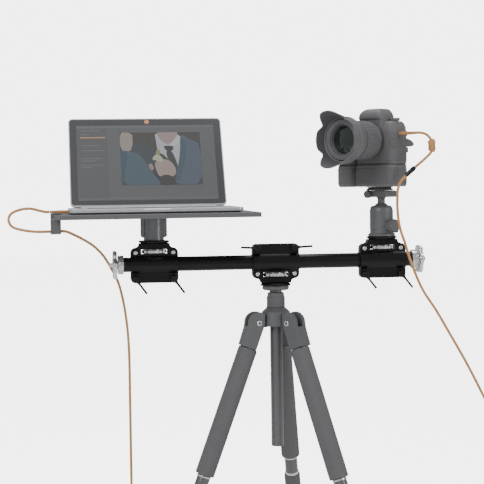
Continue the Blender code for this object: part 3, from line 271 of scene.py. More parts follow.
def solid(name, grids, material, ring=False, sharp=38):
    # one object from grids: open ones get both ends capped, a ring joins its last row to its first
    if isinstance(grids, np.ndarray):
        grids = [grids]
    verts, faces, start = [], [], 0
    for grid in grids:
        rows, cols = grid.shape[:2]
        verts.append(grid.reshape(-1, 3))
        faces += gridFaces(rows, cols, ring, start)
        if not ring:
            faces.append([start + k for k in range(cols)][::-1])
            faces.append([start + (rows - 1) * cols + k for k in range(cols)])
        start += rows * cols
    mesh = bpy.data.meshes.new(name)
    mesh.from_pydata(np.vstack(verts).tolist(), [], faces)
    tidy = bmesh.new()
    tidy.from_mesh(mesh)
    bmesh.ops.remove_doubles(tidy, verts=tidy.verts, dist=2e-6)
    bmesh.ops.recalc_face_normals(tidy, faces=tidy.faces)
    tidy.to_mesh(mesh)
    tidy.free()
    mesh.shade_smooth()
    mesh.set_sharp_from_angle(angle=math.radians(sharp))
    mesh.materials.append(material)
    obj = bpy.data.objects.new(name, mesh)
    bpy.context.collection.objects.link(obj)
    return obj


def piece(name, grids, material, body, ring=False, sharp=38):   # a solid that rides on a body
    obj = solid(name, grids, material, ring, sharp)
    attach(obj, body)
    return obj


def standsFor(obj, *nodes):   # a new piece in place of CAD nodes, which it hides
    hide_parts(*nodes)
    return obj


def refined(node, material, width=0.45, segments=2):
    # a CAD node's own shape with its edges rounded: its loose triangles merged, its flat faces joined, a
    # bevel on top
    mesh = frame["nodes"][node].data.copy()
    shape = bmesh.new()
    shape.from_mesh(mesh)
    bmesh.ops.remove_doubles(shape, verts=shape.verts, dist=2e-6)
    bmesh.ops.dissolve_limit(shape, angle_limit=math.radians(0.6), verts=shape.verts, edges=shape.edges)
    shape.to_mesh(mesh)
    shape.free()
    mesh.shade_smooth()
    mesh.materials.clear()
    mesh.materials.append(material)
    name = "".join(part.capitalize() if k else part for k, part in enumerate(node.split("_")))
    obj = bpy.data.objects.new(name, mesh)
    bpy.context.collection.objects.link(obj)
    bevel = obj.modifiers.new("softEdges", "BEVEL")
    bevel.width = width * mm
    bevel.segments = segments
    bevel.limit_method = "ANGLE"
    bevel.angle_limit = math.radians(34)
    bevel.use_clamp_overlap = False
    normals = obj.modifiers.new("flatNormals", "WEIGHTED_NORMAL")
    normals.keep_sharp = True
    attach(obj, bodyOf[node])
    return standsFor(obj, node)


# the view: a long lens a little above the bar, slightly left of the rig, level to within a degree

view = {"eye": (-0.5006, -3.1606, 0.176), "azimuth": 7.697, "pitch": -2.354, "roll": 0.8, "lens": 108.15}


def makeCamera():
    az, pitch, roll = (math.radians(view[key]) for key in ("azimuth", "pitch", "roll"))
    ahead = np.array([math.sin(az) * math.cos(pitch), math.cos(az) * math.cos(pitch), math.sin(pitch)])
    right = np.array([math.cos(az), -math.sin(az), 0])
    up = np.cross(right, ahead)
    tiltedRight = right * math.cos(roll) - up * math.sin(roll)
    tiltedUp = up * math.cos(roll) + right * math.sin(roll)
    turn = Matrix(np.column_stack([tiltedRight, tiltedUp, -ahead]).tolist()).to_4x4()
    data = bpy.data.cameras.new("view")
    data.lens = view["lens"]
    data.sensor_width = 36
    data.clip_end = 60
    camera = bpy.data.objects.new("view", data)
    camera.matrix_world = Matrix.Translation(barAt + np.array(view["eye"])) @ turn
    bpy.context.collection.objects.link(camera)
    bpy.context.scene.camera = camera


def softLight(name, place, target, size, power):
    data = bpy.data.lights.new(name, "AREA")
    data.shape = "RECTANGLE"
    data.size, data.size_y = size
    data.energy = power
    lamp = bpy.data.objects.new(name, data)
    lamp.location = place
    lamp.rotation_euler = (Vector(target) - Vector(place)).to_track_quat("-Z", "Y").to_euler()
    bpy.context.collection.objects.link(lamp)


studio = {"ambient": 0.5, "backdrop": 5.0, "floor": 4.2, "key": 60, "fill": 26, "top": 36}


def makeStudio():
    floorMaterial, tree, shader = plain("paleFloor", "#f4f4f4", 0.9, specular=0.1)
    # the sweep is lit to white for the eye alone, so that it doesn't wash out what stands on it
    seen = addNode(tree, "ShaderNodeLightPath").outputs["Is Camera Ray"]
    lit = addNode(tree, "ShaderNodeMath", {"operation": "MULTIPLY"}, i0=seen, i1=studio["floor"])
    tree.links.new(lit.outputs[0], shader.inputs["Emission Strength"])
    shader.inputs["Emission Color"].default_value = linear("#ffffff")
    mesh = bpy.data.meshes.new("floor")
    half = 14.0
    mesh.from_pydata([(-half, -half, 0), (half, -half, 0), (half, half, 0), (-half, half, 0)], [],
                     [(0, 1, 2, 3)])
    mesh.materials.append(floorMaterial)
    floor = bpy.data.objects.new("floor", mesh)
    floor.location = (0, 0, -0.0006)
    bpy.context.collection.objects.link(floor)
    world = bpy.data.worlds.new("studio")
    bpy.context.scene.world = world
    world.use_nodes = True
    back = world.node_tree.nodes["Background"]
    back.inputs[0].default_value = linear("#ffffff")
    seen = addNode(world.node_tree, "ShaderNodeLightPath").outputs["Is Camera Ray"]
    power = spread(world.node_tree, seen, studio["ambient"], studio["backdrop"])
    world.node_tree.links.new(power, back.inputs[1])
    softLight("key", (-2.2, -2.4, 2.6), (0, 0, 0.6), (1.6, 1.6), studio["key"])
    softLight("fill", (2.6, -2.0, 1.6), (0, 0, 0.6), (1.2, 2.0), studio["fill"])
    softLight("top", (0.2, 0.6, 3.0), (0, 0, 0.6), (2.2, 1.2), studio["top"])


makeCamera()
makeStudio()
print("view and light set")


# the two leads

leads = {"radius": 3 * mm, "floor": 3.6 * mm, "barHeight": 0.655, "sides": 14, "spacing": 2.5 * mm,
         "braid": 1.1}
# in the routes' own heights, where the bar is at barHeight
clipZ, portZ = leads["barHeight"] + 0.0785, leads["barHeight"] + 0.119

laptopRoute = [
    (-0.4914, -0.060, portZ), (-0.4990, -0.060, portZ), (-0.5110, -0.060, 0.7765),
               (-0.5319, -0.062, 0.7815),
    (-0.5548, -0.066, 0.7791), (-0.5715, -0.070, 0.7711), (-0.5767, -0.078, 0.7588),
    (-0.5696, -0.086, 0.7450), (-0.5428, -0.095, 0.7365), (-0.5150, -0.100, clipZ),
    (-0.4990, -0.100, clipZ), (-0.4800, -0.100, clipZ), (-0.4600, -0.100, clipZ), (-0.4392, -0.090, 0.7245),
    (-0.4070, -0.050, 0.7051), (-0.3888, -0.010, 0.6891), (-0.3725, 0.030, 0.6694),
    (-0.3587, 0.055, 0.6458), (-0.3433, 0.065, 0.6138), (-0.3327, 0.070, 0.5731),
    (-0.3245, 0.075, 0.5167), (-0.3207, 0.080, 0.4601), (-0.3199, 0.086, 0.3395),
    (-0.3195, 0.094, 0.1600), (-0.3190, 0.100, 0.0500), (-0.3160, 0.110, 0.0120),
    (-0.3080, 0.135, 0.0036), (-0.2850, 0.180, 0.0036), (-0.2300, 0.235, 0.0036),
    (-0.1500, 0.275, 0.0036), (-0.0700, 0.289, 0.0036), (-0.0390, 0.290, 0.0036)]
cameraRoute = [
    (0.2977, -0.0874, 0.9328), (0.3019, -0.0928, 0.9328), (0.3110, -0.0985, 0.9313),
               (0.3203, -0.0985, 0.9267),
    (0.3288, -0.0960, 0.9164), (0.3309, -0.0960, 0.9013), (0.3286, -0.0960, 0.8905),
    (0.3131, -0.0950, 0.8746), (0.2891, -0.0930, 0.8544), (0.2731, -0.0900, 0.8395),
    (0.2624, -0.0880, 0.8267), (0.2572, -0.0860, 0.8116), (0.2562, -0.0840, 0.7943),
    (0.2573, -0.0800, 0.7639), (0.2633, -0.0760, 0.7268), (0.2746, -0.0740, 0.6938),
    (0.2879, -0.0730, 0.6521), (0.3123, -0.0750, 0.5926), (0.3416, -0.0780, 0.5462),
    (0.3721, -0.0800, 0.4929), (0.4071, -0.0820, 0.4305), (0.4463, -0.0850, 0.3526),
    (0.4900, -0.0880, 0.2600), (0.5300, -0.0880, 0.1700), (0.5600, -0.0780, 0.0850),
    (0.5730, -0.0600, 0.0280), (0.5750, -0.0300, 0.0036), (0.5600, 0.0500, 0.0036),
    (0.5000, 0.1300, 0.0036), (0.4000, 0.2050, 0.0036), (0.2800, 0.2600, 0.0036),
    (0.1500, 0.2860, 0.0036), (0.0700, 0.2900, 0.0036), (0.0390, 0.2900, 0.0036)]


def smoothRoute(route):
    # a centripetal Catmull-Rom curve through the route, read every few millimetres, never below the floor
    route = np.array(route) + (barAt[0], barAt[1], barAt[2] - leads["barHeight"])
    route = np.vstack([2 * route[0] - route[1], route, 2 * route[-1] - route[-2]])
    p = np.stack([route[:-3], route[1:-2], route[2:-1], route[3:]])
    gaps = np.linalg.norm(np.diff(p, axis=0), axis=2) ** 0.5
    t1, t2, t3 = (part[:, None, None] for part in np.cumsum(gaps, axis=0))
    p0, p1, p2, p3 = (part[:, None] for part in p)
    t = t1 + (t2 - t1) * np.linspace(0, 1, 40, endpoint=False)[None, :, None]
    a1 = (t1 - t) / t1 * p0 + t / t1 * p1
    a2 = (t2 - t) / (t2 - t1) * p1 + (t - t1) / (t2 - t1) * p2
    a3 = (t3 - t) / (t3 - t2) * p2 + (t - t2) / (t3 - t2) * p3
    b1 = (t2 - t) / t2 * a1 + t / t2 * a2
    b2 = (t3 - t) / (t3 - t1) * a2 + (t - t1) / (t3 - t1) * a3
    dense = ((t2 - t) / (t2 - t1) * b1 + (t - t1) / (t2 - t1) * b2).reshape(-1, 3)
    dense = np.vstack([dense, route[-2]])
    dense[:, 2] = np.maximum(dense[:, 2], leads["floor"])
    run = np.concatenate([[0], np.cumsum(np.linalg.norm(np.diff(dense, axis=0), axis=1))])
    even = np.linspace(0, run[-1], int(run[-1] / leads["spacing"]))
    return np.column_stack([np.interp(even, run, dense[:, k]) for k in range(3)]), float(run[-1])


def jacket():
    # soft PVC jacket, tan orange: fine ribs along its length, and slow changes of gloss
    material, tree, shader = plain("orangeJacket", "#c08a55", 0.5, specular=0.4)
    uv = addNode(tree, "ShaderNodeUVMap", {"uv_map": "lead"}).outputs[0]
    ribs = addNode(tree, "ShaderNodeTexWave", {"wave_type": "BANDS", "bands_direction": "Y"}, Vector=uv,
                   Scale=1.0)
    where = addNode(tree, "ShaderNodeTexCoord").outputs["Object"]
    slow = addNode(tree, "ShaderNodeTexNoise", Vector=where, Scale=1 / (18 * mm), Detail=2.0)
    mix = addNode(tree, "ShaderNodeMix", {"data_type": "RGBA"}, i0=slow.outputs[0], i6=linear("#b47d49"),
                  i7=linear("#cf9b66"))
    tree.links.new(mix.outputs[2], shader.inputs["Base Color"])
    tree.links.new(spread(tree, slow.outputs[0], 0.42, 0.6), shader.inputs["Roughness"])
    bump = addNode(tree, "ShaderNodeBump", Height=ribs.outputs[0], Distance=0.12 * mm, Strength=0.35)
    tree.links.new(bump.outputs[0], shader.inputs["Normal"])
    return material


made["orangeJacket"] = jacket()


def leadPiece(name, route, node):
    path, length = smoothRoute(route)
    grid = tube(path, leads["radius"], leads["sides"])
    obj = piece(name, grid, made["orangeJacket"], bodyOf[node])
    layer = obj.data.uv_layers.new(name="lead")
    along = np.concatenate([[0], np.cumsum(np.linalg.norm(np.diff(path, axis=0), axis=1))])
    loops = np.empty(len(obj.data.loops), dtype=np.int32)
    obj.data.loops.foreach_get("vertex_index", loops)
    row, column = loops // leads["sides"], loops % leads["sides"]
    uv = np.column_stack([column / leads["sides"],
                          along[np.minimum(row, len(along) - 1)] / (leads["braid"] * mm) / 20])
    layer.data.foreach_set("uv", uv.astype(np.float32).ravel())
    standsFor(obj, node)
    return obj, path, length


laptopLead, laptopPath, laptopLength = leadPiece("laptopLead", laptopRoute, "laptop_lead")
cameraLead, cameraPath, cameraLength = leadPiece("cameraLead", cameraRoute, "camera_lead")


def strungBlock(name, path, at, halfLength, profile, material, body, sides=24):
    # a moulded piece round a lead: (distance along, radius) carried along the lead's own path
    run = np.concatenate([[0], np.cumsum(np.linalg.norm(np.diff(path, axis=0), axis=1))])
    profile = np.array(profile)
    centre = np.column_stack([np.interp(at + profile[:, 0] * halfLength, run, path[:, k])
                              for k in range(3)])
    ahead = np.column_stack([np.interp(at + profile[:, 0] * halfLength + 0.001, run, path[:, k])
                             for k in range(3)]) - centre
    ahead /= np.linalg.norm(ahead, axis=1, keepdims=True)
    side = np.cross(ahead, (0.13, 0.21, 0.97))
    side /= np.linalg.norm(side, axis=1, keepdims=True)
    up = np.cross(side, ahead)
    angle = np.linspace(0, 2 * math.pi, sides, endpoint=False)[None, :, None]
    r = profile[:, 1].reshape(-1, 1, 1)
    grid = centre[:, None] + r * (np.cos(angle) * side[:, None] + np.sin(angle) * up[:, None])
    return piece(name, grid, material, body)


ferriteShape = [(-1.0, 0.0034), (-0.97, 0.0062), (-0.86, 0.0080), (-0.5, 0.0086), (0.5, 0.0086),
                (0.86, 0.0080), (0.97, 0.0062), (1.0, 0.0034)]
ferrite = strungBlock("cameraFerrite", cameraPath, 0.054, 0.013, ferriteShape, made["orangeJacket"],
                      "camera")
grip = [(-1.0, 0.0032), (-1.0, 0.0046), (-0.8, 0.0050), (0.8, 0.0050), (1.0, 0.0046), (1.0, 0.0032)]
leadClip = strungBlock("cameraLeadClip", cameraPath, 0.130, 0.013, grip, made["blackEnamel"], "camera")
laptopPlug = refined("laptop_plug", made["plugOrange"], 0.3)
cameraPlug = refined("camera_plug", made["plugOrange"], 0.3)
coupler = refined("lead_coupler", made["plugOrange"], 0.3)
tuple(laptopPath[0])
tuple(cameraPath[0])
print("leads", round(laptopLength, 3), round(cameraLength, 3))


# the cross bar with its ends

bar = {"radius": 16 * mm, "wall": 2.2 * mm, "sides": 96, "wheel": 33 * mm, "wheelDepth": 5 * mm, "lobes": 6,
       "hub": 20.5 * mm, "hubLength": 11.8 * mm, "wheelThick": 10.5 * mm, "stud": 4.75 * mm,
       "pitch": 1.5875 * mm}


# (radius, z) of a stud whose thread is drawn as rings of the right pitch
def threaded(start, end, radius, pitch):
    count = int(abs(end - start) / pitch)
    z = start + (np.arange(count * 2 + 1) / 2) * pitch * np.sign(end - start)
    return np.column_stack([np.where(np.arange(len(z)) % 2, radius, radius - 0.55 * mm), z])


def crossBar():
    low, high = (corner[0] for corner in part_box("cross_bar"))
    inner = bar["radius"] - bar["wall"]
    ringProfile = roundOff([(inner, low), (bar["radius"], low), (bar["radius"], high), (inner, high)],
                           0.6 * mm, 3)
    grid = lathe(ringProfile, bar["sides"])
    grid = aim(grid, (0, barAt[1], barZ), (1, 0, 0))
    standsFor(piece("crossBar", grid, made["blackAnodised"], "bar", ring=True), "cross_bar")


def endPieces(side, outwards):
    low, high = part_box("cross_bar")
    face = (low if outwards < 0 else high)[0]
    place, gap = (face, barAt[1], barZ), 0.3 * mm
    top = gap + bar["hubLength"]
    bore, spigot = bar["stud"] + gap, bar["radius"] - bar["wall"] - gap
    cap = roundOff([(bore, -16 * mm), (spigot, -16 * mm), (spigot, gap), (bar["hub"], gap),
                    (bar["hub"], top - 4 * mm), (bar["hub"] - 0.5 * mm, top - 3.6 * mm),
                    (bar["hub"] - 0.5 * mm, top - 3 * mm), (bar["hub"], top - 2.6 * mm), (bar["hub"], top),
                    (bore, top)], 0.5 * mm, 3)
    capGrid = aim(lathe(cap, 80), place, (outwards, 0, 0))
    standsFor(piece(side + "EndCap", capGrid, made["silverAnodised"], "bar", ring=True), side + "_end_cap")

    low = bar["hubLength"] + 2 * gap
    web, high, radius = low + 5 * mm, low + bar["wheelThick"], bar["wheel"]
    profile = roundOff([(0.5 * mm, -12 * mm), (bar["stud"], -12 * mm), (bar["stud"], low), (8.5 * mm, low),
                        (9.5 * mm, web), (radius - 8 * mm, web), (radius - 4 * mm, low + 2 * mm),
                        (radius - 1.5 * mm, low + 2.6 * mm), (radius, low + 4.5 * mm),
                        (radius, high - 2 * mm), (radius - 2 * mm, high), (14 * mm, high),
                        (13.4 * mm, high - 0.5 * mm), (12.8 * mm, high), (bar["stud"], high)], 0.7 * mm, 3)
    stud = threaded(high, high + 10 * mm, bar["stud"], bar["pitch"])
    profile = np.vstack([profile, stud[1:], [(bar["stud"] - 1.2 * mm, high + 10 * mm)]])

    def lobed(angle, r):   # the rim's lobes: deepest at the edge, none at the hub
        share = np.clip((r - 14 * mm) / (radius - 14 * mm), 0, 1) ** 1.5
        return 1 - share * bar["wheelDepth"] / radius * (0.5 - 0.5 * np.cos(bar["lobes"] * angle)) ** 1.6
    grid = aim(lathe(profile, 144, lobed), place, (outwards, 0, 0))
    standsFor(piece(side + "EndWheel", grid, chrome, side + "_hand_wheel"), side + "_end_wheel")


crossBar()
endPieces("left", -1)
endPieces("right", 1)
print("bar done")


# the three clamps

clamp = {"wheel": 27 * mm, "thick": 8.6 * mm, "wheelZ": 28 * mm, "face": 52 * mm, "platform": 33.5 * mm,
         "platformThick": 5.7 * mm, "screwX": 41 * mm, "screwZ": 26 * mm, "stud": 4.75 * mm}


def clampPieces(side, up):
    x = middle(side + "_platform")[0]
    origin = (x, barAt[1], barZ)

    def stood(grid):   # from the clamp's own frame, platform up, to its place
        return grid * (1, 1, up) + np.array(origin)
    for half in ("front", "rear"):
        refined(f"{side}_{half}_shell", made["blackAnodised"], 0.7)
    bore, low, high = clamp["stud"] + 0.3 * mm, clamp["face"] - clamp["platformThick"], clamp["face"]
    r = clamp["platform"]
    disc = roundOff([(bore, low), (r - 4.5 * mm, low), (r, low + 2.5 * mm), (r, high), (r - 3 * mm, high),
                     (r - 3.5 * mm, high - 0.4 * mm), (r - 4.2 * mm, high - 0.4 * mm), (r - 4.7 * mm, high),
                     (bore, high)],
                    0.5 * mm, 3)
    platform = piece(side + "Platform", stood(lathe(disc, 96)), made["blackAnodised"], side + "_bracket",
                     ring=True)
    standsFor(platform, side + "_platform")

    low, high, r = clamp["wheelZ"] - clamp["thick"] / 2, clamp["wheelZ"] + clamp["thick"] / 2, clamp["wheel"]
    edge = [(r - 9 * mm, low), (r - 9 * mm, low + 0.4 * mm), (r - 1.6 * mm, low + 0.4 * mm),
            (r, low + 1.6 * mm), (r, high - 1.6 * mm), (r - 1.6 * mm, high - 0.4 * mm),
            (r - 9 * mm, high - 0.4 * mm), (r - 9 * mm, high)]

    def scallops(angle, radius):
        return 1 - 1.9 * mm / r * (0.5 - 0.5 * np.cos(12 * angle)) ** 1.4 * (radius > r - 3 * mm)
    if up > 0:
        stud = threaded(high, clamp["face"] + 7.5 * mm, clamp["stud"], bar["pitch"])
        profile = np.vstack([[(1 * mm, low)], edge, [(clamp["stud"], high)], stud,
                             [(2.5 * mm, clamp["face"] + 8 * mm)]])
        wheel = piece(side + "StudWheel", stood(lathe(profile, 144, scallops)), chrome, side + "_wheel")
    else:
        profile = np.vstack([[(bore, low)], edge, [(bore, high)]])
        wheel = piece(side + "StudWheel", stood(lathe(profile, 144, scallops)), chrome, side + "_wheel",
                      ring=True)
    standsFor(wheel, side + "_stud_wheel")
    for lever in ("left", "right"):
        refined(f"{side}_lever_{lever}", made["blackEnamel"], 0.5)

    # plated screws in the ears, front and rear: a domed head with a hexagon sunk in it
    heads = []
    for sx in (-1, 1):
        for sy in (-1, 1):
            head = lathe(roundOff([(4.5 * mm, 8.7 * mm), (4.5 * mm, 11.3 * mm), (3.4 * mm, 12.0 * mm),
                                   (2.1 * mm, 12.0 * mm)],
                                  0.4 * mm), 36)
            angle = np.linspace(0, 2 * math.pi, 36, endpoint=False)
            hexagon = 1.9 * mm * np.cos(math.pi / 6) / np.cos((angle + math.pi / 6) % (math.pi / 3)
                                                              - math.pi / 6)
            sunk = np.stack([np.column_stack([hexagon * np.cos(angle), hexagon * np.sin(angle),
                                              np.full(36, z * mm)])
                             for z in (11.95, 10.2)])
            head = np.concatenate([head, sunk])
            heads.append(aim(head, (x + sx * clamp["screwX"], barAt[1], barZ + up * clamp["screwZ"]),
                             (0, sy, 0)))
    screws = piece(side + "ClampScrews", heads, chrome, side + "_bracket")


for side, up in (("left", 1), ("middle", -1), ("right", 1)):
    clampPieces(side, up)
print("clamps done")


# the tray, its post and the clip

tray = {"thick": 10 * mm, "sheet": 2.5 * mm, "rim": 3 * mm, "corner": 12 * mm, "edge": 1.2 * mm}


def makeTray():
    low, high = (np.array(corner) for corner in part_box("tray"))
    centre, size = (low + high) / 2, high - low
    outer = roundRect(size[0], size[1], tray["corner"], 10, centre)
    inner = shrink(outer, tray["rim"])
    shell = stack(outer, softLevels(low[2], high[2], tray["edge"]))
    underside = stack(inner, [(0, high[2] - tray["sheet"]), (0, low[2])])
    standsFor(piece("trayTop", np.concatenate([underside, shell]), made["powderGrey"], "tray_top"), "tray")
    refined("tray_mount", made["postGrey"], 0.8)
    refined("cable_clip", made["rubberGrey"], 0.8)


makeTray()
print("tray done")


# the laptop

laptop = {"corner": 14 * mm, "edge": 1.0 * mm, "foot": 3 * mm, "footInset": 9 * mm, "keyGap": 2.6 * mm,
          "wellWidth": 284 * mm, "wellDepth": 112 * mm, "wellY": 22 * mm, "keyTravel": 1.1 * mm,
          "lidWidth": 354 * mm, "lidLength": 238 * mm, "lidThick": 6 * mm,
          "axisY": 113.5 * mm, "lidFoot": 9.5 * mm}
laptopX = middle("laptop_base")[0]
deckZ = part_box("laptop_base")[1][2]


def blocks(name, centres, sizes, height, material, body, base):
    # many small keycaps as one piece: an outline with round corners, drawn in a little towards the top of
    # each cap
    levels = [(0, base), (0.1 * mm, base + 0.6 * height), (0.5 * mm, base + height)]
    caps = [stack(roundRect(w, d, 1.6 * mm, 2, centre), levels) for centre, (w, d) in zip(centres, sizes)]
    return piece(name, caps, material, body)


def keyboard():
    # rows of caps 16.5 mm apart, wider ones at the ends, a long bar at the front
    widths = [[1] * 13 + [1.0], [1] * 13 + [1.5], [1.5] + [1] * 12 + [1.0], [1.75] + [1] * 11 + [1.75],
              [2.25] + [1] * 10 + [2.25], [1, 1, 1, 1.25, 5, 1.25, 1, 1, 1, 1]]
    wellW, wellD = laptop["wellWidth"], laptop["wellDepth"]
    rowPitch = wellD / len(widths)
    centres, sizes = [], []
    for r, row in enumerate(widths):
        pitch = wellW / sum(row)
        edges = np.concatenate([[0], np.cumsum(row)]) * pitch
        y = barAt[1] + laptop["wellY"] + wellD / 2 - (r + 0.5) * rowPitch
        for a, b in zip(edges[:-1], edges[1:]):
            centres.append((laptopX - wellW / 2 + (a + b) / 2, y))
            sizes.append((b - a - laptop["keyGap"], rowPitch - laptop["keyGap"]))
    return centres, sizes


def cutAway(obj, grid):   # an exact Boolean cut by a grid's own solid, applied
    tool = solid("tool", grid, made["castGrey"])
    cut = obj.modifiers.new("cut", "BOOLEAN")
    cut.object = tool
    cut.operation = "DIFFERENCE"
    cut.solver = "EXACT"
    graph = bpy.context.evaluated_depsgraph_get()
    mesh = bpy.data.meshes.new_from_object(obj.evaluated_get(graph))
    obj.modifiers.clear()
    obj.data = mesh
    bpy.data.objects.remove(tool, do_unlink=True)
    while len(mesh.materials) > 1:
        mesh.materials.pop()
    mesh.shade_smooth()
    mesh.set_sharp_from_angle(angle=math.radians(35))


def makeBase():
    low, high = (np.array(corner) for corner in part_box("laptop_base"))
    centre, size = (low + high) / 2, high - low
    outline = roundRect(size[0], size[1], laptop["corner"], 10, centre)
    levels = [(laptop["footInset"], low[2])] + softLevels(low[2] + laptop["foot"], high[2], laptop["edge"])
    body = piece("laptopBase", stack(outline, levels), made["laptopSilver"], "tray_top")
    # the rear edge dips in where the lid's hinge barrel lies
    notchY = barAt[1] + laptop["axisY"] - 5.7 * mm
    notch = stack(roundRect(306.6 * mm, 60 * mm, 1 * mm, 2, (laptopX, notchY + 30 * mm)),
                  [(0, low[2] - 10 * mm), (0, high[2] + 10 * mm)])
    well = stack(roundRect(laptop["wellWidth"] + 3 * mm, laptop["wellDepth"] + 3 * mm, 3 * mm, 3,
                           (laptopX, barAt[1] + laptop["wellY"])),
                 [(0, high[2] - 1.5 * mm), (0, high[2] + 10 * mm)])
    padLow, padHigh = (np.array(corner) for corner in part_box("laptop_trackpad"))
    padCentre, padSize = (padLow + padHigh) / 2, padHigh - padLow
    padWell = stack(roundRect(padSize[0] + 0.6 * mm, padSize[1] + 0.6 * mm, 3.2 * mm, 4, padCentre),
                    [(0, high[2] - 1.6 * mm), (0, high[2] + 10 * mm)])
    port = stack(roundRect(20 * mm, 9.6 * mm, 1.2 * mm, 3, (low[0], barAt[1] - 60 * mm)),
                 [(0, deckZ - 6.6 * mm), (0, deckZ - 3 * mm)])
    scoop = aim(lathe([(0.5 * mm, -28 * mm), (7 * mm, -28 * mm), (7 * mm, 28 * mm), (0.5 * mm, 28 * mm)],
                      32),
                (laptopX, low[1] - 2.2 * mm, high[2] + 4.6 * mm), (1, 0, 0))
    for tool in (notch, well, padWell, port, scoop):
        cutAway(body, tool)
    standsFor(body, "laptop_base")
    centres, sizes = keyboard()
    blocks("laptopKeys", centres, sizes, laptop["keyTravel"], made["keyBlack"], "tray_top",
           high[2] - 1.45 * mm)
    pad = stack(roundRect(padSize[0], padSize[1], 3 * mm, 5, padCentre),
                softLevels(padLow[2], padHigh[2], 0.3 * mm, 2))
    standsFor(piece("laptopTrackpad", pad, made["laptopSilver"], "trackpad"), "laptop_trackpad")
    # speaker grilles: two fields of pinholes beside the keys, drawn as dark dots on the deck: painted shade
    # in place of open pinholes
    dot = roundRect(0.9 * mm, 0.9 * mm, 0.44 * mm, 1)
    holeShadeDots = [stack(dot + (laptopX + side * (152 + 2.2 * column) * mm, barAt[1] + (2.4 * row - 32) * mm),
                   [(0, deckZ - 0.2 * mm), (0, deckZ + 0.04 * mm)])
             for side in (-1, 1) for column in range(6) for row in range(44)]
    piece("laptopSpeakerHoleShade", holeShadeDots, made["keyBlack"], "tray_top")


def toLid(points):
    # the lid's own frame: x across, y up the lid from its hinge, z out of its screen
    points = np.asarray(points, float)
    x, up, out = points[..., 0], points[..., 1], points[..., 2]
    c, s = math.cos(lidLean), math.sin(lidLean)
    y = barAt[1] + laptop["axisY"] + up * s - out * c
    z = deckZ - 4 * mm + up * c + out * s
    return np.stack([laptopX + x, y, z], axis=-1)


screenFace = -4.5 * mm    # the screen's face lies this far behind the hinge


def lidLayer(name, outline, low, high, material, edge=0.0):
    levels = softLevels(low, high, edge, 3) if edge else [(0, low), (0, high)]
    return piece(name, toLid(stack(outline, levels)), material, "lid")


def glowing(name, hexColour, rough=0.25, glow=0.25):
    material, tree, shader = plain(name, hexColour, rough)
    where = addNode(tree, "ShaderNodeTexCoord").outputs["Object"]
    # a lit display, with a faint mottling
    mottle = addNode(tree, "ShaderNodeTexNoise", Vector=where, Scale=1 / (2.5 * mm), Detail=2.0)
    deep = tuple(c * 0.82 for c in linear(hexColour)[:3]) + (1.0,)
    mix = addNode(tree, "ShaderNodeMix", {"data_type": "RGBA"}, i0=mottle.outputs[0], i6=deep,
                  i7=linear(hexColour))
    tree.links.new(mix.outputs[2], shader.inputs["Base Color"])
    tree.links.new(mix.outputs[2], shader.inputs["Emission Color"])
    shader.inputs["Emission Strength"].default_value = glow
    return material


def polygon(points, smooth=0):
    # an outline through the points; smoothing cuts its corners at a quarter of each side
    points = np.array(points, float) * mm
    for _ in range(smooth):
        ahead = np.roll(points, -1, axis=0)
        points = np.stack([points * 0.75 + ahead * 0.25, points * 0.25 + ahead * 0.75], axis=1).reshape(-1,
                2)
    return points


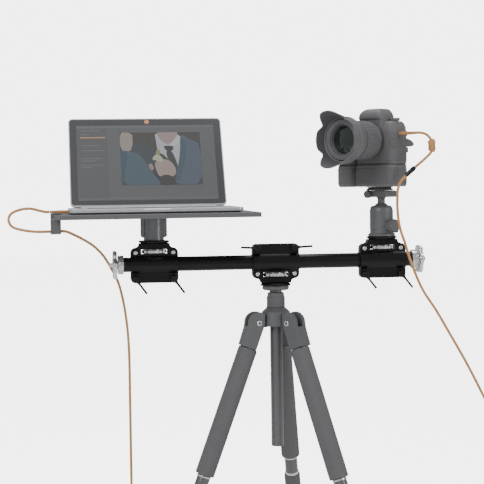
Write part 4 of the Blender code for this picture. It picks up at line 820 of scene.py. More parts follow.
def makeLid():
    w, length, thick = laptop["lidWidth"], laptop["lidLength"], laptop["lidThick"]
    foot = laptop["lidFoot"]
    back = screenFace - thick
    plate = roundRect(w, length - foot, 10 * mm, 10, (0, (length + foot) / 2))
    shell = toLid(stack(plate, softLevels(back, screenFace, 1.1 * mm, 5)))
    reach = 152.3 * mm
    barrel = lathe(roundOff([(0.5 * mm, -reach), (4.5 * mm, -reach), (4.5 * mm, reach), (0.5 * mm, reach)],
                            0.5 * mm), 40)
    barrel = toLid(np.stack([barrel[..., 2], barrel[..., 0], barrel[..., 1]], axis=-1))
    link = toLid(stack(roundRect(2 * reach, 6 * mm, 0.8 * mm, 3, (0, 1 * mm)),
                       [(0, back + 3 * mm), (0, 0)]))
    neck = toLid(stack(roundRect(2 * reach, foot + 2 * mm, 0.8 * mm, 3, (0, (foot + 2 * mm) / 2)),
                       [(0, back + 0.5 * mm), (0, screenFace)]))
    lid = piece("laptopLid", [shell, barrel, link, neck], made["laptopSilver"], "lid")
    standsFor(lid, "laptop_lid")
    glassTop = screenFace + 0.25 * mm
    # the bezel glows faintly: painted light, as the frame round the picture gives no light of its own
    bezelPaintedGlow = glowing("screenBezelPaintedGlow", "#4c4d4f", 0.22, 0.1)
    lidLayer("laptopBezel", roundRect(w - 5 * mm, length - foot - 6 * mm, 7 * mm, 8,
                                      (0, (length + foot) / 2)),
             screenFace - 0.3 * mm, glassTop, bezelPaintedGlow, 0.1 * mm)
    # the lit picture area, above a deeper chin
    width, bottom, top = w - 36 * mm, 24 * mm, length - 19 * mm
    step = [0.06 * mm]

    # each thing shown lies a few hundredths of a millimetre over the last
    def flat(name, outline, material):
        step[0] += 0.035 * mm
        return lidLayer(name, outline, glassTop - 0.1 * mm, glassTop + step[0], material)
    flat("screenPanel", roundRect(width, top - bottom, 0.5 * mm, 2, (0, (top + bottom) / 2)),
         glowing("panelGrey", "#5c5d5f"))
    flat("screenTopBar", roundRect(width, 5 * mm, 0.4 * mm, 2, (0, top - 4 * mm)),
         glowing("barGrey", "#626365"))
    flat("screenFootBar", roundRect(width, 5 * mm, 0.4 * mm, 2, (0, bottom + 5 * mm)),
         glowing("footGrey", "#606163"))
    left = -width / 2
    flat("screenList", roundRect(70 * mm, top - bottom - 16 * mm, 0.4 * mm, 2,
                                 (left + 36 * mm, (top + bottom) / 2 - 2 * mm)),
         glowing("listGrey", "#58595b"))
    rows = glowing("rowGrey", "#6c6d6f")
    lines = [roundRect(w0 * mm, 1.5 * mm, 0.5 * mm, 1, (left + (10 + w0 / 2) * mm, length - y * mm))
             for y, w0 in ((33, 44), (43, 20), (72, 40), (85, 52), (106, 48), (112, 34), (123, 50),
                           (129, 26))]
    step[0] += 0.035 * mm
    strips = [toLid(stack(line, [(0, glassTop - 0.1 * mm), (0, glassTop + step[0])])) for line in lines]
    piece("screenRows", strips, rows, "lid")
    flat("screenMarkedRow", roundRect(57 * mm, 2.6 * mm, 0.8 * mm, 1, (left + 37 * mm, length - 51 * mm)),
         glowing("markOrange", "#b08a64"))
    flat("screenDot", roundRect(11 * mm, 11 * mm, 5.49 * mm, 6, (4 * mm, length - 10 * mm)),
         glowing("dotOrange", "#c98a6c", glow=0.4))

    # the picture, as plain shapes with no face: two jackets, a shirt and tie, a flower and a hand
    cx, cy, pw, ph = 33 * mm, length - 107 * mm, 185 * mm, 137 * mm

    def shot(name, colour, points, smooth=2):
        outline = polygon(points, smooth) + (cx, cy)
        outline[:, 0] = np.clip(outline[:, 0], cx - pw / 2, cx + pw / 2)
        outline[:, 1] = np.clip(outline[:, 1], cy - ph / 2, cy + ph / 2)
        flat(name, outline, glowing(name + "Tone", colour))
    flat("pictureGround", roundRect(pw, ph, 0.4 * mm, 2, (cx, cy)), glowing("groundTone", "#4b4b4a"))
    shot("pictureNeckLeft", "#857f78", [(-96, 72), (-64, 72), (-63, 34), (-71, 17), (-94, 22)], 1)
    shot("pictureSleeveFar", "#484d51", [(-70, 36), (-40, 42), (-12, 22), (-12, -18), (-34, -12),
                                         (-60, 10)])
    shot("pictureJacketLeft", "#4f5a63", [(-98, 24), (-72, 19), (-52, 13), (-36, -8), (-26, -28),
                                          (-12, -53), (4, -74), (-98, -74)])
    shot("pictureJacketShade", "#49535b", [(-98, 22), (-74, 16), (-82, -20), (-90, -74), (-98, -74)])
    shot("pictureShirt", "#9a9ca1", [(-12, 72), (48, 72), (46, 12), (38, -38), (28, -22), (11, 6), (-7, 17),
                                     (-9, 37)], 1)
    shot("pictureNeckRight", "#8c7b7b", [(-10, 74), (47, 74), (31, 46), (16, 34), (0, 48)])
    shot("pictureCollar", "#a5a7ab", [(46, 64), (34, 48), (20, 34), (30, 30), (46, 40)], 1)
    shot("pictureKnot", "#46484a", [(6, 31), (13, 33), (30, 32), (30, 25), (25, 18), (14, 18)], 1)
    shot("pictureTie", "#484a4c", [(14, 21), (25, 21), (36, -11), (40, -36), (33, -54), (22, -16), (12, 9)],
         1)
    shot("pictureJacketRight", "#535b65", [(47, 64), (65, 52), (96, 34), (98, -74), (26, -74), (36, -30),
                                           (45, 17)], 1)
    shot("pictureLapel", "#4c555e", [(47, 60), (60, 40), (56, -10), (34, -72), (27, -72), (37, -28),
                                     (45, 17)], 1)
    shot("pictureSleeveNear", "#43464a", [(-17, -10), (-8, -28), (-2, -54), (-10, -52), (-20, -34),
                                          (-24, -20)])
    shot("pictureHandFar", "#877a74", [(-31, -15), (-21, -13), (-17, -30), (-25, -32)])
    shot("pictureHand", "#8f817b", [(-16, -11), (-4, -3), (16, -3), (30, -19), (34, -38), (25, -50),
                                    (9, -42), (-6, -50), (-14, -28)])
    shot("pictureCuff", "#464647", [(-7, -50), (9, -41), (28, -50), (33, -74), (-4, -74)], 1)
    shot("pictureLeaf", "#77835f", [(-9, 27), (0, 19), (-3, 6), (4, -3), (-14, 2)])
    shot("pictureFlower", "#9b9d8c", [(-19, 3), (-11, 11), (2, 4), (6, -9), (-4, -10), (-12, -5),
                                      (-20, -5)])


makeBase()
makeLid()
print("laptop done")


# the ball head

head = {"radius": 26 * mm, "base": 30 * mm, "ball": 20 * mm, "ballZ": 107.6 * mm, "top": 119.8 * mm,
        "low": 52.3 * mm,
        "knobAzimuth": -58, "knobZ": 76 * mm, "panAzimuth": 8, "panZ": 67 * mm}


def headPoint(x, y, z):
    return (rightX + x, barAt[1] + y, barZ + z)


def makeHead():
    low, top, ball = head["low"], head["top"], head["ball"]
    socket = ball + 0.9 * mm
    rim = math.asin((top - head["ballZ"]) / socket)
    a = np.linspace(rim, -math.pi / 2 + 0.05, 24)
    outer = roundOff([(5.05 * mm, low + 9 * mm), (5.05 * mm, low), (head["base"], low),
                      (head["base"], low + 4.4 * mm), (head["radius"], low + 7.6 * mm),
                      (head["radius"], low + 12 * mm), (head["radius"] - 0.6 * mm, low + 12.4 * mm),
                      (head["radius"] - 0.6 * mm, low + 13.4 * mm), (head["radius"], low + 13.8 * mm),
                      (head["radius"], top - 11 * mm), (24.6 * mm, top - 4.5 * mm),
                      (21.6 * mm, top - 0.6 * mm), (20.4 * mm, top), (socket * math.cos(rim), top)],
                     0.8 * mm, 4)
    inside = np.column_stack([socket * np.cos(a), head["ballZ"] + socket * np.sin(a)])
    housing = lathe(np.vstack([outer, inside]), 96) + np.array(headPoint(0, 0, 0))
    azimuth = math.radians(head["knobAzimuth"])
    out = (math.cos(azimuth), math.sin(azimuth), 0)
    boss = aim(lathe(roundOff([(2 * mm, 13 * mm), (12.5 * mm, 13 * mm), (12.5 * mm, 29 * mm),
                               (4.4 * mm, 29 * mm), (4.4 * mm, 18 * mm)],
                              0.7 * mm), 64), headPoint(0, 0, head["knobZ"]), out)
    panAt = math.radians(head["panAzimuth"])
    panOut = (math.cos(panAt), math.sin(panAt), 0)
    standsFor(piece("ballHousing", [housing, boss], made["castGrey"], "head"), "ball_housing")

    def ribbed(count, depth, over):
        return lambda angle, r: 1 - depth / np.maximum(r,
                                                       1e-4) * (0.5 - 0.5 * np.cos(count
                                                               * angle)) * (r > over)
    knob = roundOff([(0.5 * mm, 18.3 * mm), (4 * mm, 18.3 * mm), (4 * mm, 29.3 * mm),
                     (12.5 * mm, 29.3 * mm), (14.5 * mm, 32 * mm), (14.5 * mm, 41 * mm),
                     (12.8 * mm, 43.4 * mm), (9.5 * mm, 43.4 * mm), (8.8 * mm, 42.4 * mm),
                     (0.5 * mm, 42.4 * mm)],
                    0.7 * mm)
    grid = aim(lathe(knob, 192, ribbed(24, 0.9 * mm, 13 * mm)), headPoint(0, 0, head["knobZ"]), out)
    standsFor(piece("lockKnob", grid, made["rubberGrey"], "head_lock"), "lock_knob")
    small = roundOff([(0.5 * mm, 22 * mm), (3.4 * mm, 22 * mm), (3.4 * mm, 28 * mm), (7 * mm, 28 * mm),
                      (8.4 * mm, 29.6 * mm), (8.4 * mm, 37 * mm), (7.2 * mm, 38.4 * mm),
                      (0.5 * mm, 38.4 * mm)], 0.6 * mm)
    panKnob = piece("panKnob", aim(lathe(small, 144, ribbed(18, 0.7 * mm, 7.6 * mm)),
                                   headPoint(0, 0, head["panZ"]), panOut),
                    made["rubberGrey"], "head")
    # a bright graduated ring at the foot, as fine raised lines every 15 degrees
    marks = []
    for k in range(24):
        turn = k * 2 * math.pi / 24
        at = headPoint(head["base"] * 0.9985 * math.cos(turn), head["base"] * 0.9985 * math.sin(turn),
                       low + 2.4 * mm)
        tall = 1.5 * mm if k % 3 == 0 else 0.9 * mm
        marks.append(aim(stack(roundRect(2 * tall, 0.35 * mm, 0.1 * mm, 1),
                               [(0, -0.1 * mm), (0, 0.12 * mm)]), at,
                         (math.cos(turn), math.sin(turn), 0)))
    piece("headMarks", marks, made["silverAnodised"], "head")

    a = np.linspace(-math.pi / 2 + 0.04, math.acos(8.5 / 20), 40)
    ballProfile = np.vstack([np.column_stack([ball * np.cos(a), head["ballZ"] + ball * np.sin(a)]),
                             roundOff([(8.5 * mm, 126 * mm), (8.5 * mm, 135.8 * mm),
                                       (12.5 * mm, 139.8 * mm), (12.5 * mm, 141 * mm)], 1.5 * mm)])
    # the clamp: a block with a slot along it, where its front jaw draws in by the screw
    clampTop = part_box("ball_stem")[1][2] - cameraFoot
    clampLow = 138.8 * mm + barZ - cameraFoot
    block = piece("clampBlock",
                  toCamera(stack(roundRect(60 * mm, 38 * mm, 5 * mm, 6),
                                 softLevels(clampLow, clampTop, 1.2 * mm))),
                  made["castGrey"], "camera")
    cutAway(block, toCamera(stack(roundRect(70 * mm, 1.0 * mm, 0.3 * mm, 2, (0, -12.5 * mm)),
                                  [(0, clampTop - 8 * mm), (0, clampTop + 5 * mm)])))
    ballGrid = lathe(ballProfile, 72) + np.array(headPoint(0, 0, 0))
    standsFor(piece("ballStem", ballGrid, made["castGrey"], "camera"), "ball_stem")
    refined("clamp_knob", made["rubberGrey"], 0.5)
    refined("camera_plate", made["castGrey"], 0.6)


makeHead()
print("head done")


# the camera, in its own frame: the lens looks along -y, x = y = 0 stands over the ball

cam = {"seam": 50.3 * mm, "top": 143.3 * mm, "plane": 36.7 * mm, "side": 62 * mm, "hand": 62 * mm,
       "axis": 102.5 * mm,
       "skinProud": 0.6 * mm, "gripPlane": 40 * mm, "gripHand": 50 * mm, "dial": (46 * mm, -6 * mm),
       "shutter": (-71 * mm, -46 * mm),
       "port": (-8.5 * mm, 116.1 * mm)}


def bodyOutline(front, hand, steps=8):
    # plan of the body: round corners, and a grip that comes forward on the hand's side
    def turn(x, y, radius, start, end, count):
        a = np.radians(np.linspace(start, end, count + 1))
        return np.column_stack([x + radius * np.cos(a), y + radius * np.sin(a)])
    side = cam["side"] - 12 * mm
    return np.vstack([turn(side, 8 * mm, 12 * mm, 0, 90, steps),
                      turn(-75 * mm, 5 * mm, 15 * mm, 90, 180, steps),
                      turn(-74 * mm, 16 * mm - hand, 16 * mm, 180, 262, steps),
                      turn(-66 * mm, 18 * mm - hand, 18 * mm, 278, 338, steps),
                      [(-45 * mm, 10 * mm - front), (-40 * mm, 2.5 * mm - front), (-32 * mm, -front)],
                      turn(side, 12 * mm - front, 12 * mm, 270, 360, steps)])


def makeBody():
    seam, top = cam["seam"], cam["top"]
    gripOutline = bodyOutline(cam["gripPlane"], cam["gripHand"])
    grip = piece("batteryGrip", toCamera(stack(gripOutline, softLevels(0, seam - 0.6 * mm, 5.0 * mm, 6))),
                 made["cameraShell"], "camera")
    standsFor(grip, "battery_grip")
    outline = bodyOutline(cam["plane"], cam["hand"])
    shoulder = [(0.5 * mm, seam), (0, seam + 0.5 * mm), (0, top - 20 * mm), (0.8 * mm, top - 13 * mm),
                (3 * mm, top - 8 * mm), (5.4 * mm, top - 3.4 * mm), (9 * mm, top - 0.6 * mm),
                (11 * mm, top)]
    body = piece("cameraBody", toCamera(stack(outline, shoulder)), made["cameraShell"], "camera")
    # the viewfinder housing: rounded sections that swell forward over the mount and narrow to the top
    sections = ((70, 47, -12.5, -16), (69, 47, -12.5, -4), (67, 48, -12.9, 3), (65, 54, -14.4, 6.4),
                (64, 55.4, -14.8, 8.5), (62.6, 55, -14.8, 13.5), (59, 52.4, -14.4, 18.4),
                (54, 48.4, -13.6, 22.4), (48.4, 43, -12.4, 25.8), (43.5, 39, -11.4, 27.6),
                (37, 34, -10.6, 28.5))
    prism = [np.column_stack([roundRect(w * mm, d * mm, 9 * mm, 8, (0, y * mm)), np.full(36, top + z * mm)])
             for w, d, y, z in sections]
    piece("viewfinderHousing", toCamera(np.stack(prism)), made["cameraShell"], "camera")
    port = cam["port"]
    socket = stack(roundRect(20 * mm, 10.4 * mm, 1 * mm, 3, (cam["side"], port[0])),
                   [(0, port[1] - 2.6 * mm), (0, port[1] + 2.6 * mm)])
    cutAway(body, toCamera(socket))
    cutAway(body,
            toCamera(lathe([(5.9 * mm, top - 3.4 * mm), (5.9 * mm, top + 5 * mm)],
                           40) + np.array((*cam["shutter"], 0))))
    standsFor(body, "camera_body")
    # rubber skin: it stands a little proud of the shell, round the grip and across the front below the
    # shoulder
    skin = stack(bodyOutline(cam["plane"] + cam["skinProud"], cam["hand"] + cam["skinProud"]),
                 [(-0.2 * mm, seam + 6 * mm), (-0.8 * mm, seam + 6.6 * mm), (-0.8 * mm, top - 24.6 * mm),
                 (-0.2 * mm, top - 24 * mm)])
    piece("cameraSkin", toCamera(skin), made["cameraSkin"], "camera")
    gripSkin = stack(bodyOutline(cam["gripPlane"] + 0.4 * mm, cam["gripHand"] + 0.4 * mm),
                     [(-0.1 * mm, 7 * mm), (-0.7 * mm, 7.6 * mm), (-0.7 * mm, seam - 9.6 * mm),
                                                        (-0.1 * mm, seam - 9 * mm)])
    piece("gripSkin", toCamera(gripSkin), made["cameraSkin"], "camera")
    # the seam between body and battery grip, as a thin dark band set back in the gap: painted shade where
    # the gap falls dark
    seamShadeBand = stack(bodyOutline(cam["gripPlane"] - 1 * mm, cam["gripHand"] - 1 * mm),
                     [(0.8 * mm, seam - 1.2 * mm), (0.8 * mm, seam + 1.0 * mm)])
    piece("seamShadeBand", toCamera(seamShadeBand), made["keyBlack"], "camera")


def button(x, y, z, radius, height, direction, sides=32):   # a domed push button
    profile = roundOff([(0.2 * mm, -1 * mm), (radius, -1 * mm), (radius, height),
                        (0.2 * mm, height + radius * 0.12)], radius * 0.25)
    return aim(lathe(profile, sides), (x, y, z), direction)


# a raised rounded cover on a flat side
def flap(x, y, z, across, along, thick, direction=(1, 0, 0), radius=2.0):
    grid = stack(roundRect(across * mm, along * mm, radius * mm, 5),
                 softLevels(-1 * mm, thick * mm, 0.4 * mm, 3))
    return aim(grid, (x, y, z), direction)


def makeControls():
    top, seam = cam["top"], cam["seam"]
    shutterX, shutterY = cam["shutter"]
    a = lathe(roundOff([(0.3 * mm, top - 1.8 * mm), (5.5 * mm, top - 1.8 * mm), (5.5 * mm, top + 0.9 * mm),
                        (4.4 * mm, top + 1.5 * mm), (2.5 * mm, top + 1.25 * mm),
                        (0.3 * mm, top + 1.15 * mm)], 0.5 * mm),
              48) + np.array((shutterX, shutterY, 0))
    standsFor(piece("shutterButton", toCamera(a), made["blackEnamel"], "shutter"), "shutter_button")
    collar = lathe(roundOff([(6.2 * mm, top - 5 * mm), (9.6 * mm, top - 5 * mm), (8.6 * mm, top + 0.3 * mm),
                             (7.2 * mm, top + 0.9 * mm), (6.2 * mm, top + 0.2 * mm),
                             (6.2 * mm, top - 5 * mm)], 0.6 * mm),
                   64) + np.array((shutterX, shutterY, 0))
    piece("shutterCollar", toCamera(collar), made["cameraShell"], "camera")
    dialX, dialY = cam["dial"]
    knurl = lambda angle, r: 1 - 0.35 * mm / np.maximum(r,
                                                        1 * mm) * (0.5 - 0.5 * np.cos(36
                                                                * angle)) * (r > 9.8 * mm)
    dial = roundOff([(0.4 * mm, top + 0.4 * mm), (9.4 * mm, top + 0.4 * mm), (10.4 * mm, top + 1.2 * mm),
                     (10.4 * mm, top + 6.2 * mm), (9.2 * mm, top + 7.2 * mm), (6.8 * mm, top + 7.4 * mm),
                     (6.4 * mm, top + 7.0 * mm), (0.4 * mm, top + 7.0 * mm)], 0.5 * mm, 3)
    grid = lathe(dial, 216, knurl) + np.array((dialX, dialY, 0))
    standsFor(piece("modeDial", toCamera(grid), made["cameraShell"], "dial"), "mode_dial")
    # accessory shoe on the viewfinder housing: a plate with two folded rails
    roof = top + 28.5 * mm
    shoe = [stack(roundRect(w * mm, d * mm, 0.4 * mm, 2, (x * mm, y * mm)),
                  [(0, roof + z0 * mm), (0, roof + z1 * mm)])
            for w, d, x, y, z0, z1 in ((21, 19, 0, -9.5, -1.5, 0.0), (2.2, 18, -9.6, -9.5, -0.5, -0.02),
                                       (2.2, 18, 9.6, -9.5, -0.5, -0.02))]
    piece("accessoryShoe", [toCamera(g) for g in shoe], made["silverAnodised"], "camera")
    # the side with the sockets: raised covers on the body and one on the battery grip
    side = cam["side"]
    flaps = [flap(side, 3.0 * mm, seam + 66 * mm, 26, 11, 0.9),
             flap(side, -21 * mm, seam + 45 * mm, 42, 15, 1.0),
             flap(side, 3.0 * mm, seam + 30 * mm, 30, 12, 0.9), flap(side, -10 * mm, 25 * mm, 20, 26, 0.8)]
    piece("socketCovers", [toCamera(g) for g in flaps], made["cameraSkin"], "camera")
    # the socket's rubber cover, swung open on its strap
    cover = np.array([(0, 22), (11, 20), (20, 4), (12, -16), (4, -22), (0, -12)])
    cover = aim(stack(polygon(cover, 2), [(0, -0.9 * mm), (0, 0.9 * mm)]) @ np.array([[0, 1, 0], [-1, 0, 0],
            [0, 0, 1]]),
                (side - 1.5 * mm, 10 * mm, 87 * mm), (-0.9, 0.44, 0))
    piece("openCover", toCamera(cover), made["cameraSkin"], "camera")
    # a raised panel on the battery grip's front
    front = aim(stack(roundRect(84 * mm, 27 * mm, 4 * mm, 5), softLevels(-2 * mm, 1.4 * mm, 0.6 * mm, 3)),
                (9 * mm, -39.6 * mm, 25 * mm), (0, -1, 0))
    piece("gripPanel", toCamera(front), made["lensShell"], "camera")
    # back: the display, a command dial and two columns of buttons
    back = 20 * mm
    panel = aim(stack(roundRect(68 * mm, 78 * mm, 3 * mm, 5), softLevels(-1 * mm, 2.2 * mm, 0.8 * mm, 3)),
                (-8 * mm, back, seam + 37 * mm), (0, 1, 0))
    piece("backPanel", toCamera(panel), made["cameraShell"], "camera")
    glass = aim(stack(roundRect(50 * mm, 66 * mm, 1.5 * mm, 4), softLevels(0, 2.5 * mm, 0.3 * mm, 2)),
                (-8 * mm, back, seam + 35 * mm), (0, 1, 0))
    piece("backDisplay", toCamera(glass), made["blackEnamel"], "camera")
    wheel = aim(lathe(roundOff([(0.5 * mm, -1 * mm), (14 * mm, -1 * mm), (14 * mm, 1.6 * mm),
                                (12 * mm, 2.6 * mm), (5.5 * mm, 2.0 * mm), (5 * mm, 2.6 * mm),
                                (0.5 * mm, 2.7 * mm)], 0.6 * mm), 96),
                (-66 * mm, back, seam + 28 * mm), (0, 1, 0))
    backs = [button(-66 * mm, back, seam + (52 + 11 * k) * mm, 4 * mm, 1.6 * mm, (0, 1, 0))
             for k in range(3)]
    backs += [button(40 * mm, back, seam + (14 + 13 * k) * mm, 3.4 * mm, 1.4 * mm, (0, 1, 0))
              for k in range(5)]
    backs += [button(-74 * mm, back - 1 * mm, (14 + 12 * k) * mm, 3.6 * mm, 1.4 * mm, (0, 1, 0))
              for k in range(3)]
    piece("backControls", [toCamera(g) for g in [wheel] + backs], made["rubberGrey"], "camera")
    eye = aim(lathe(roundOff([(11 * mm, -3 * mm), (15 * mm, -3 * mm), (15 * mm, 4.4 * mm),
                              (13.5 * mm, 5.6 * mm), (11 * mm, 5.2 * mm),
                              (10 * mm, 2 * mm)], 0.8 * mm), 48) * np.array((1, 0.72, 1)),
              (0, 9 * mm, top + 13 * mm), (0, 1, 0))
    piece("eyecup", toCamera(eye), made["rubberGrey"], "camera")
    # strap lugs at both shoulders
    lugs = [aim(lathe(roundOff([(2.2 * mm, -1.2 * mm), (4.2 * mm, -1.2 * mm), (4.2 * mm, 1.2 * mm),
                                (2.2 * mm, 1.2 * mm),
                                (2.2 * mm, -1.2 * mm)], 0.5 * mm), 32), (x * mm, 8 * mm, top - 14 * mm),
                (0, 1, 0)) for x in (60, -88)]
    piece("strapLugs", [toCamera(g) for g in lugs], made["silverAnodised"], "camera")


makeBody()
makeControls()
print("camera done")


# the lens: its own z runs forward from the camera's mount

lens = {"start": -37 * mm, "zoomLow": 23.5 * mm, "zoomHigh": 58.5 * mm, "front": 98 * mm, "ribs": 54,
        "ribDeep": 0.9 * mm}


def toLens(points):
    # turned so that the lens's z looks along the camera's -y, and its y is up
    p = np.asarray(points, float)
    return toCamera(np.stack([p[..., 0], lens["start"] - p[..., 2], cam["axis"] + p[..., 1]], axis=-1))


def hoodReach(angle):
    # petals above and below, short sides, and a notch between: half waves between the named reaches
    up = np.abs(np.degrees(np.arcsin(np.clip(np.sin(angle), -1, 1))))
    known = np.array([0, 12, 22, 29, 35, 41, 48, 57, 66, 78, 90])
    reach = np.array([20, 19.8, 19, 14, 11, 15.5, 24, 33.5, 41, 45, 46]) * mm
    return np.interp(up, known, reach)


def makeLens():
    low, high, front = lens["zoomLow"], lens["zoomHigh"], lens["front"]
    barrel = roundOff([(33 * mm, 0.2 * mm), (38.5 * mm, 3 * mm), (40.9 * mm, 10 * mm), (40.9 * mm, 17 * mm),
                       (40.2 * mm, 17.3 * mm), (40.2 * mm, 18.3 * mm), (40.9 * mm, 18.6 * mm),
                       (40.9 * mm, low - 0.4 * mm), (37.2 * mm, low - 0.4 * mm),
                       (37.2 * mm, high + 0.4 * mm), (41.8 * mm, high + 0.4 * mm), (43.9 * mm, 66 * mm),
                       (43.9 * mm, 71 * mm), (43.3 * mm, 71.3 * mm), (43.3 * mm, 72.1 * mm),
                       (43.9 * mm, 72.4 * mm), (43.9 * mm, 81.6 * mm), (43.9 * mm, front),
                       (42.6 * mm, front), (34 * mm, front - 1.2 * mm), (32.6 * mm, front - 5 * mm),
                       (31.6 * mm, front - 5.2 * mm), (31.2 * mm, front - 9 * mm),
                       (30.6 * mm, front - 9.2 * mm), (30.2 * mm, front - 15.6 * mm)], 0.35 * mm, 2)
    standsFor(piece("lensBarrel", toLens(lathe(barrel, 128)), made["lensShell"], "camera"), "lens_barrel")
    # rubber ring with square ribs: a flattened wave round the ring, faded out at its edges
    rows = np.linspace(0, 1, 9)
    count = lens["ribs"] * 8
    angle = np.linspace(0, 2 * math.pi, count, endpoint=False)
    wave = np.clip(1.8 * np.cos(lens["ribs"] * angle), -1, 1)[None, :]
    heights = low + 0.6 * mm + (high - low - 1.2 * mm) * rows
    fade = np.clip(np.minimum(rows, 1 - rows) * 16, 0, 1)[:, None]
    radius = 42.4 * mm - lens["ribDeep"] * (0.5 - 0.5 * wave) * fade
    skin = np.stack([radius * np.cos(angle), radius * np.sin(angle),
                     np.broadcast_to(heights[:, None], radius.shape)], axis=-1)

    def hoop(r, z):
        return np.column_stack([r * np.cos(angle), r * np.sin(angle), np.full(count, z)])[None]
    ring = np.concatenate([hoop(37.4 * mm, low), hoop(42.0 * mm, low), skin, hoop(42.0 * mm, high),
                           hoop(37.4 * mm, high)])
    standsFor(piece("zoomRing", toLens(ring), made["rubberGrey"], "zoom", ring=True, sharp=50), "zoom_ring")
    # the front element: a coated dome in a stepped, ribbed cell
    a = np.linspace(0.02, 1, 18)
    dome = np.column_stack([29.4 * mm * a[::-1],
                            front - 12.4 * mm + 5.2 * mm * np.cos(a[::-1] * 1.35) - 1.1 * mm])
    glassProfile = np.vstack([[(29.4 * mm, front - 15.5 * mm)], dome])
    standsFor(piece("frontGlass", toLens(lathe(glassProfile, 96)), coated, "camera"), "front_glass")

    # the petal hood: a bayonet foot, then a flared wall whose edge follows hoodReach, open at both ends
    sides = 256
    angle = np.linspace(0, 2 * math.pi, sides, endpoint=False)
    reach = hoodReach(angle)
    reach = np.mean([np.roll(reach, k) for k in range(-2, 3)], axis=0)
    flare = (62 - 50.5) / 46
    share = np.linspace(0, 1, 12)[:, None]

    def wall(inward, lift=0.0):
        r = 50.5 * mm + flare * share * reach - inward
        return np.stack([r * np.cos(angle), r * np.sin(angle), front + share * reach + lift], axis=-1)

    def band(r, z):
        return np.column_stack([r * np.cos(angle), r * np.sin(angle), np.full(sides, z)])[None]
    outer, inner = wall(0), wall(2.3 * mm)[::-1]
    lip = (outer[-1:] + inner[:1]) / 2 + (0, 0, 0.25 * mm)
    hood = np.concatenate([band(44.4 * mm, front - 16 * mm), band(49.7 * mm, front - 16 * mm),
                           band(50.5 * mm, front - 15.2 * mm),
                           band(50.5 * mm, front - 4.2 * mm), band(50.0 * mm, front - 3.9 * mm),
                           band(50.0 * mm, front - 3.1 * mm),
                           band(50.5 * mm, front - 2.8 * mm), outer, lip, inner,
                           band(46 * mm, front - 1 * mm),
                           band(44.4 * mm, front - 4 * mm)])
    standsFor(piece("lensHood", toLens(hood), made["hoodPlastic"], "camera", ring=True, sharp=30),
              "lens_hood")
    mark = aim(lathe(roundOff([(0.2 * mm, -0.4 * mm), (1.0 * mm, -0.4 * mm), (1.0 * mm, 0.25 * mm),
                               (0.2 * mm, 0.3 * mm)], 0.1 * mm), 20),
               (0, 43.9 * mm, 77 * mm), (0, 1, 0))
    piece("lensMark", toLens(mark), made["silverAnodised"], "camera")


def coatedGlass():
    # multi-coated crown glass: black from the dark barrel behind it, and paler towards its edge by a painted
    # reflection
    material, tree, shader = plain("coatedGlass", "#0c1210", 0.04, coat=1.0)
    reflectionShare = addNode(tree, "ShaderNodeLayerWeight", Blend=0.45).outputs["Facing"]
    # the base colour turns to the paler tone where the surface turns from the eye: painted reflection
    mix = addNode(tree, "ShaderNodeMix", {"data_type": "RGBA"}, i0=reflectionShare, i6=linear("#141a18"),
                  i7=linear("#3c4845"))
    tree.links.new(mix.outputs[2], shader.inputs["Base Color"])
    shader.inputs["Coat Roughness"].default_value = 0.02
    shader.inputs["Coat Tint"].default_value = linear("#cfe3d8")
    return material


coated = coatedGlass()
makeLens()
print("lens done")


# the tripod

legs = {"azimuths": {"rear": 71, "left": 191, "right": 311}, "splay": 21, "pivotOut": 45 * mm,
        "pivotDrop": 132.6 * mm,
        "foamStart": 61 * mm, "foamEnd": 350 * mm, "foam": 20.8 * mm, "tubeEnd": 399.8 * mm,
        "tube": 14.4 * mm,
        "lockStart": 400.3 * mm, "lockEnd": 440.3 * mm, "lock": 18.4 * mm, "inner": 11.2 * mm,
        "foot": 542.4 * mm}


def toLeg(name, points):
    # the leg's own frame: z = 0 at its pivot, -z down the leg, x outwards
    azimuth, splay = math.radians(legs["azimuths"][name]), math.radians(legs["splay"])
    p = np.asarray(points, float)
    x = p[..., 0] * math.cos(splay) - p[..., 2] * math.sin(splay)
    z = p[..., 0] * math.sin(splay) + p[..., 2] * math.cos(splay)
    out = legs["pivotOut"] + x
    return np.stack([barAt[0] + out * math.cos(azimuth) - p[..., 1] * math.sin(azimuth),
                     barAt[1] + out * math.sin(azimuth) + p[..., 1] * math.cos(azimuth),
                     barZ - legs["pivotDrop"] + z], axis=-1)


# a wave that cuts grooves of a depth into the parts of a profile wider than over
def ribs(count, depth, over):
    return lambda angle, r: 1 - depth / np.maximum(r,
                                                   1 * mm) * (0.5 - 0.5 * np.cos(count
                                                           * angle)) * (r > over)


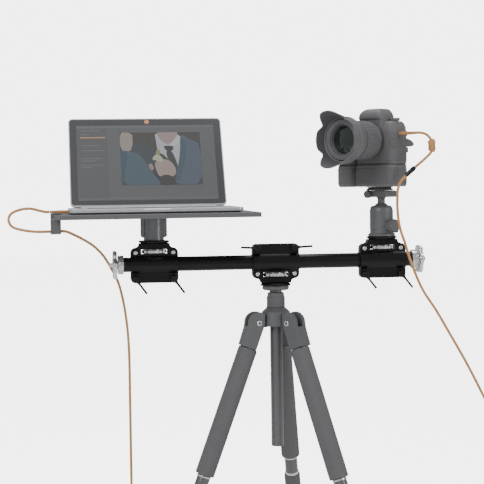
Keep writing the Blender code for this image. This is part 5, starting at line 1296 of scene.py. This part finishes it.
def makeLeg(name):
    node = name + "_upper_leg"
    refined(node, made["castGrey"], 0.7)
    # the CAD leg is one solid: its casting shows above the foam, and the sleeve and tube cover the rest
    foamProfile = roundOff([(11.8 * mm, -legs["foamStart"]), (20.4 * mm, -legs["foamStart"]),
                            (legs["foam"] + 0.35 * mm, -legs["foamStart"] - 3 * mm),
                            (legs["foam"] + 0.35 * mm, -legs["foamEnd"] + 4 * mm),
                            (20.0 * mm, -legs["foamEnd"] - 0.4 * mm),
                            (14.8 * mm, -legs["foamEnd"] - 0.6 * mm)], 2 * mm)
    low = lathe(foamProfile, 64)
    piece(name + "FoamSleeve", toLeg(name, low), made["foamGrey"], bodyOf[node])
    tubeProfile = roundOff([(11.7 * mm, -legs["foamEnd"] + 2 * mm),
                            (legs["tube"] + 0.25 * mm, -legs["foamEnd"] + 2 * mm),
                            (legs["tube"] + 0.25 * mm, -legs["tubeEnd"]), (11.7 * mm, -legs["tubeEnd"])],
                           0.3 * mm, 2)
    piece(name + "OuterTube", toLeg(name, lathe(tubeProfile, 64)), made["tubeGrey"], bodyOf[node])
    bands = [lathe(roundOff([(14.5 * mm, z0 * mm), (15.6 * mm, z0 * mm), (15.6 * mm, z1 * mm),
                             (14.5 * mm, z1 * mm)], 0.3 * mm), 64)
             for z0, z1 in ((-356, -352.5), (-399.6, -393))]
    piece(name + "LegBands", [toLeg(name, grid) for grid in bands], made["silverAnodised"], bodyOf[node])
    start, end, r = legs["lockStart"], legs["lockEnd"], legs["lock"]
    lock = roundOff([(11.7 * mm, -start), (r - 1.2 * mm, -start), (r, -start - 1.6 * mm),
                     (r, -end + 6 * mm), (r - 1.0 * mm, -end + 3.6 * mm), (15.2 * mm, -end),
                     (11.7 * mm, -end)], 0.8 * mm)
    grid = lathe(lock, 180, ribs(20, 1.0 * mm, r - 0.6 * mm))
    standsFor(piece(name + "LegLock", toLeg(name, grid), made["rubberGrey"], bodyOf[name + "_leg_lock"]),
              name + "_leg_lock")
    foot = legs["foot"]
    a = np.linspace(0.9, -math.pi / 2 + 0.06, 16)
    lower = roundOff([(0.4 * mm, -80 * mm), (legs["inner"], -80 * mm), (legs["inner"], -foot + 27 * mm)],
                     0.3 * mm, 2)
    grid = toLeg(name,
                 lathe(np.vstack([lower,
                                  [(legs["inner"], -foot + 24 * mm), (0.5 * mm, -foot + 23.6 * mm)]]), 48))
    shoe = np.vstack([roundOff([(0.4 * mm, -foot + 27.5 * mm), (13.4 * mm, -foot + 27.5 * mm),
                                (13.6 * mm, -foot + 20 * mm), (10.2 * mm, -foot + 14 * mm)], 1.2 * mm),
                      np.column_stack([15.9 * mm * np.cos(a), -foot + 15.9 * mm * np.sin(a)])])
    tubePiece = piece(name + "LowerTube", grid, made["tubeGrey"], bodyOf[name + "_lower_leg"])
    standsFor(tubePiece, name + "_lower_leg")
    piece(name + "Foot", toLeg(name, lathe(shoe, 64)), made["rubberGrey"], bodyOf[name + "_lower_leg"])


def makeColumn():
    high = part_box("centre_column")[1][2]
    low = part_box("centre_column")[0][2]
    columnProfile = roundOff([(11.6 * mm, low), (13.7 * mm, low), (13.7 * mm, high), (11.6 * mm, high)],
                             0.4 * mm)
    column = lathe(columnProfile, 64) + np.array((barAt[0], barAt[1], 0))
    standsFor(piece("centreColumn", column, made["tubeGrey"], "column", ring=True), "centre_column")
    cap = lathe(roundOff([(0.4 * mm, low - 0.2 * mm), (12.6 * mm, low - 0.2 * mm),
                          (13.5 * mm, low + 0.4 * mm), (11.4 * mm, low + 2 * mm),
                          (0.4 * mm, low + 2 * mm)], 0.2 * mm), 48) + np.array((barAt[0], barAt[1], 0))
    piece("columnCap", cap, made["rubberGrey"], "column")
    refined("top_plate", made["castGrey"], 0.5)
    collarLow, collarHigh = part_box("column_collar")[0][2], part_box("column_collar")[1][2]
    profile = roundOff([(14.2 * mm, collarLow), (20.2 * mm, collarLow), (20.2 * mm, collarHigh - 10 * mm),
                        (18.6 * mm, collarHigh - 8.6 * mm), (18.2 * mm, collarHigh - 2 * mm),
                        (16.4 * mm, collarHigh), (14.2 * mm, collarHigh)],
                       0.8 * mm)
    collar = lathe(profile, 180, ribs(24, 1.1 * mm, 19.4 * mm)) + np.array((barAt[0], barAt[1], 0))
    standsFor(piece("columnCollar", collar, made["rubberGrey"], "collar", ring=True), "column_collar")
    refined("tripod_shoulder", made["castGrey"], 0.7)
    # a plain cap screw over both ends of each leg's pin
    centre = np.array(barAt)
    screws = []
    for azimuth in legs["azimuths"].values():
        a = math.radians(azimuth)
        tangent = (-math.sin(a), math.cos(a), 0)
        at = centre + (legs["pivotOut"] * math.cos(a), legs["pivotOut"] * math.sin(a), -legs["pivotDrop"])
        for side in (-1, 1):
            start = at + side * 18.2 * mm * np.array(tangent)
            screws.append(aim(lathe(roundOff([(0.3 * mm, -1 * mm), (6.2 * mm, -1 * mm),
                                              (6.2 * mm, 1.5 * mm), (5.2 * mm, 2.3 * mm),
                                              (3.2 * mm, 2.3 * mm), (3.2 * mm, 0.6 * mm),
                                              (0.3 * mm, 0.6 * mm)], 0.3 * mm), 40),
                              tuple(start), tuple(side * np.array(tangent))))
    return screws


for legName in legs["azimuths"]:
    makeLeg(legName)
pinHeads = makeColumn()
for pair, legName in enumerate(legs["azimuths"]):
    piece(legName + "PinHeads", pinHeads[2 * pair:2 * pair + 2], made["silverAnodised"], legName + "_leg")
print("tripod done")
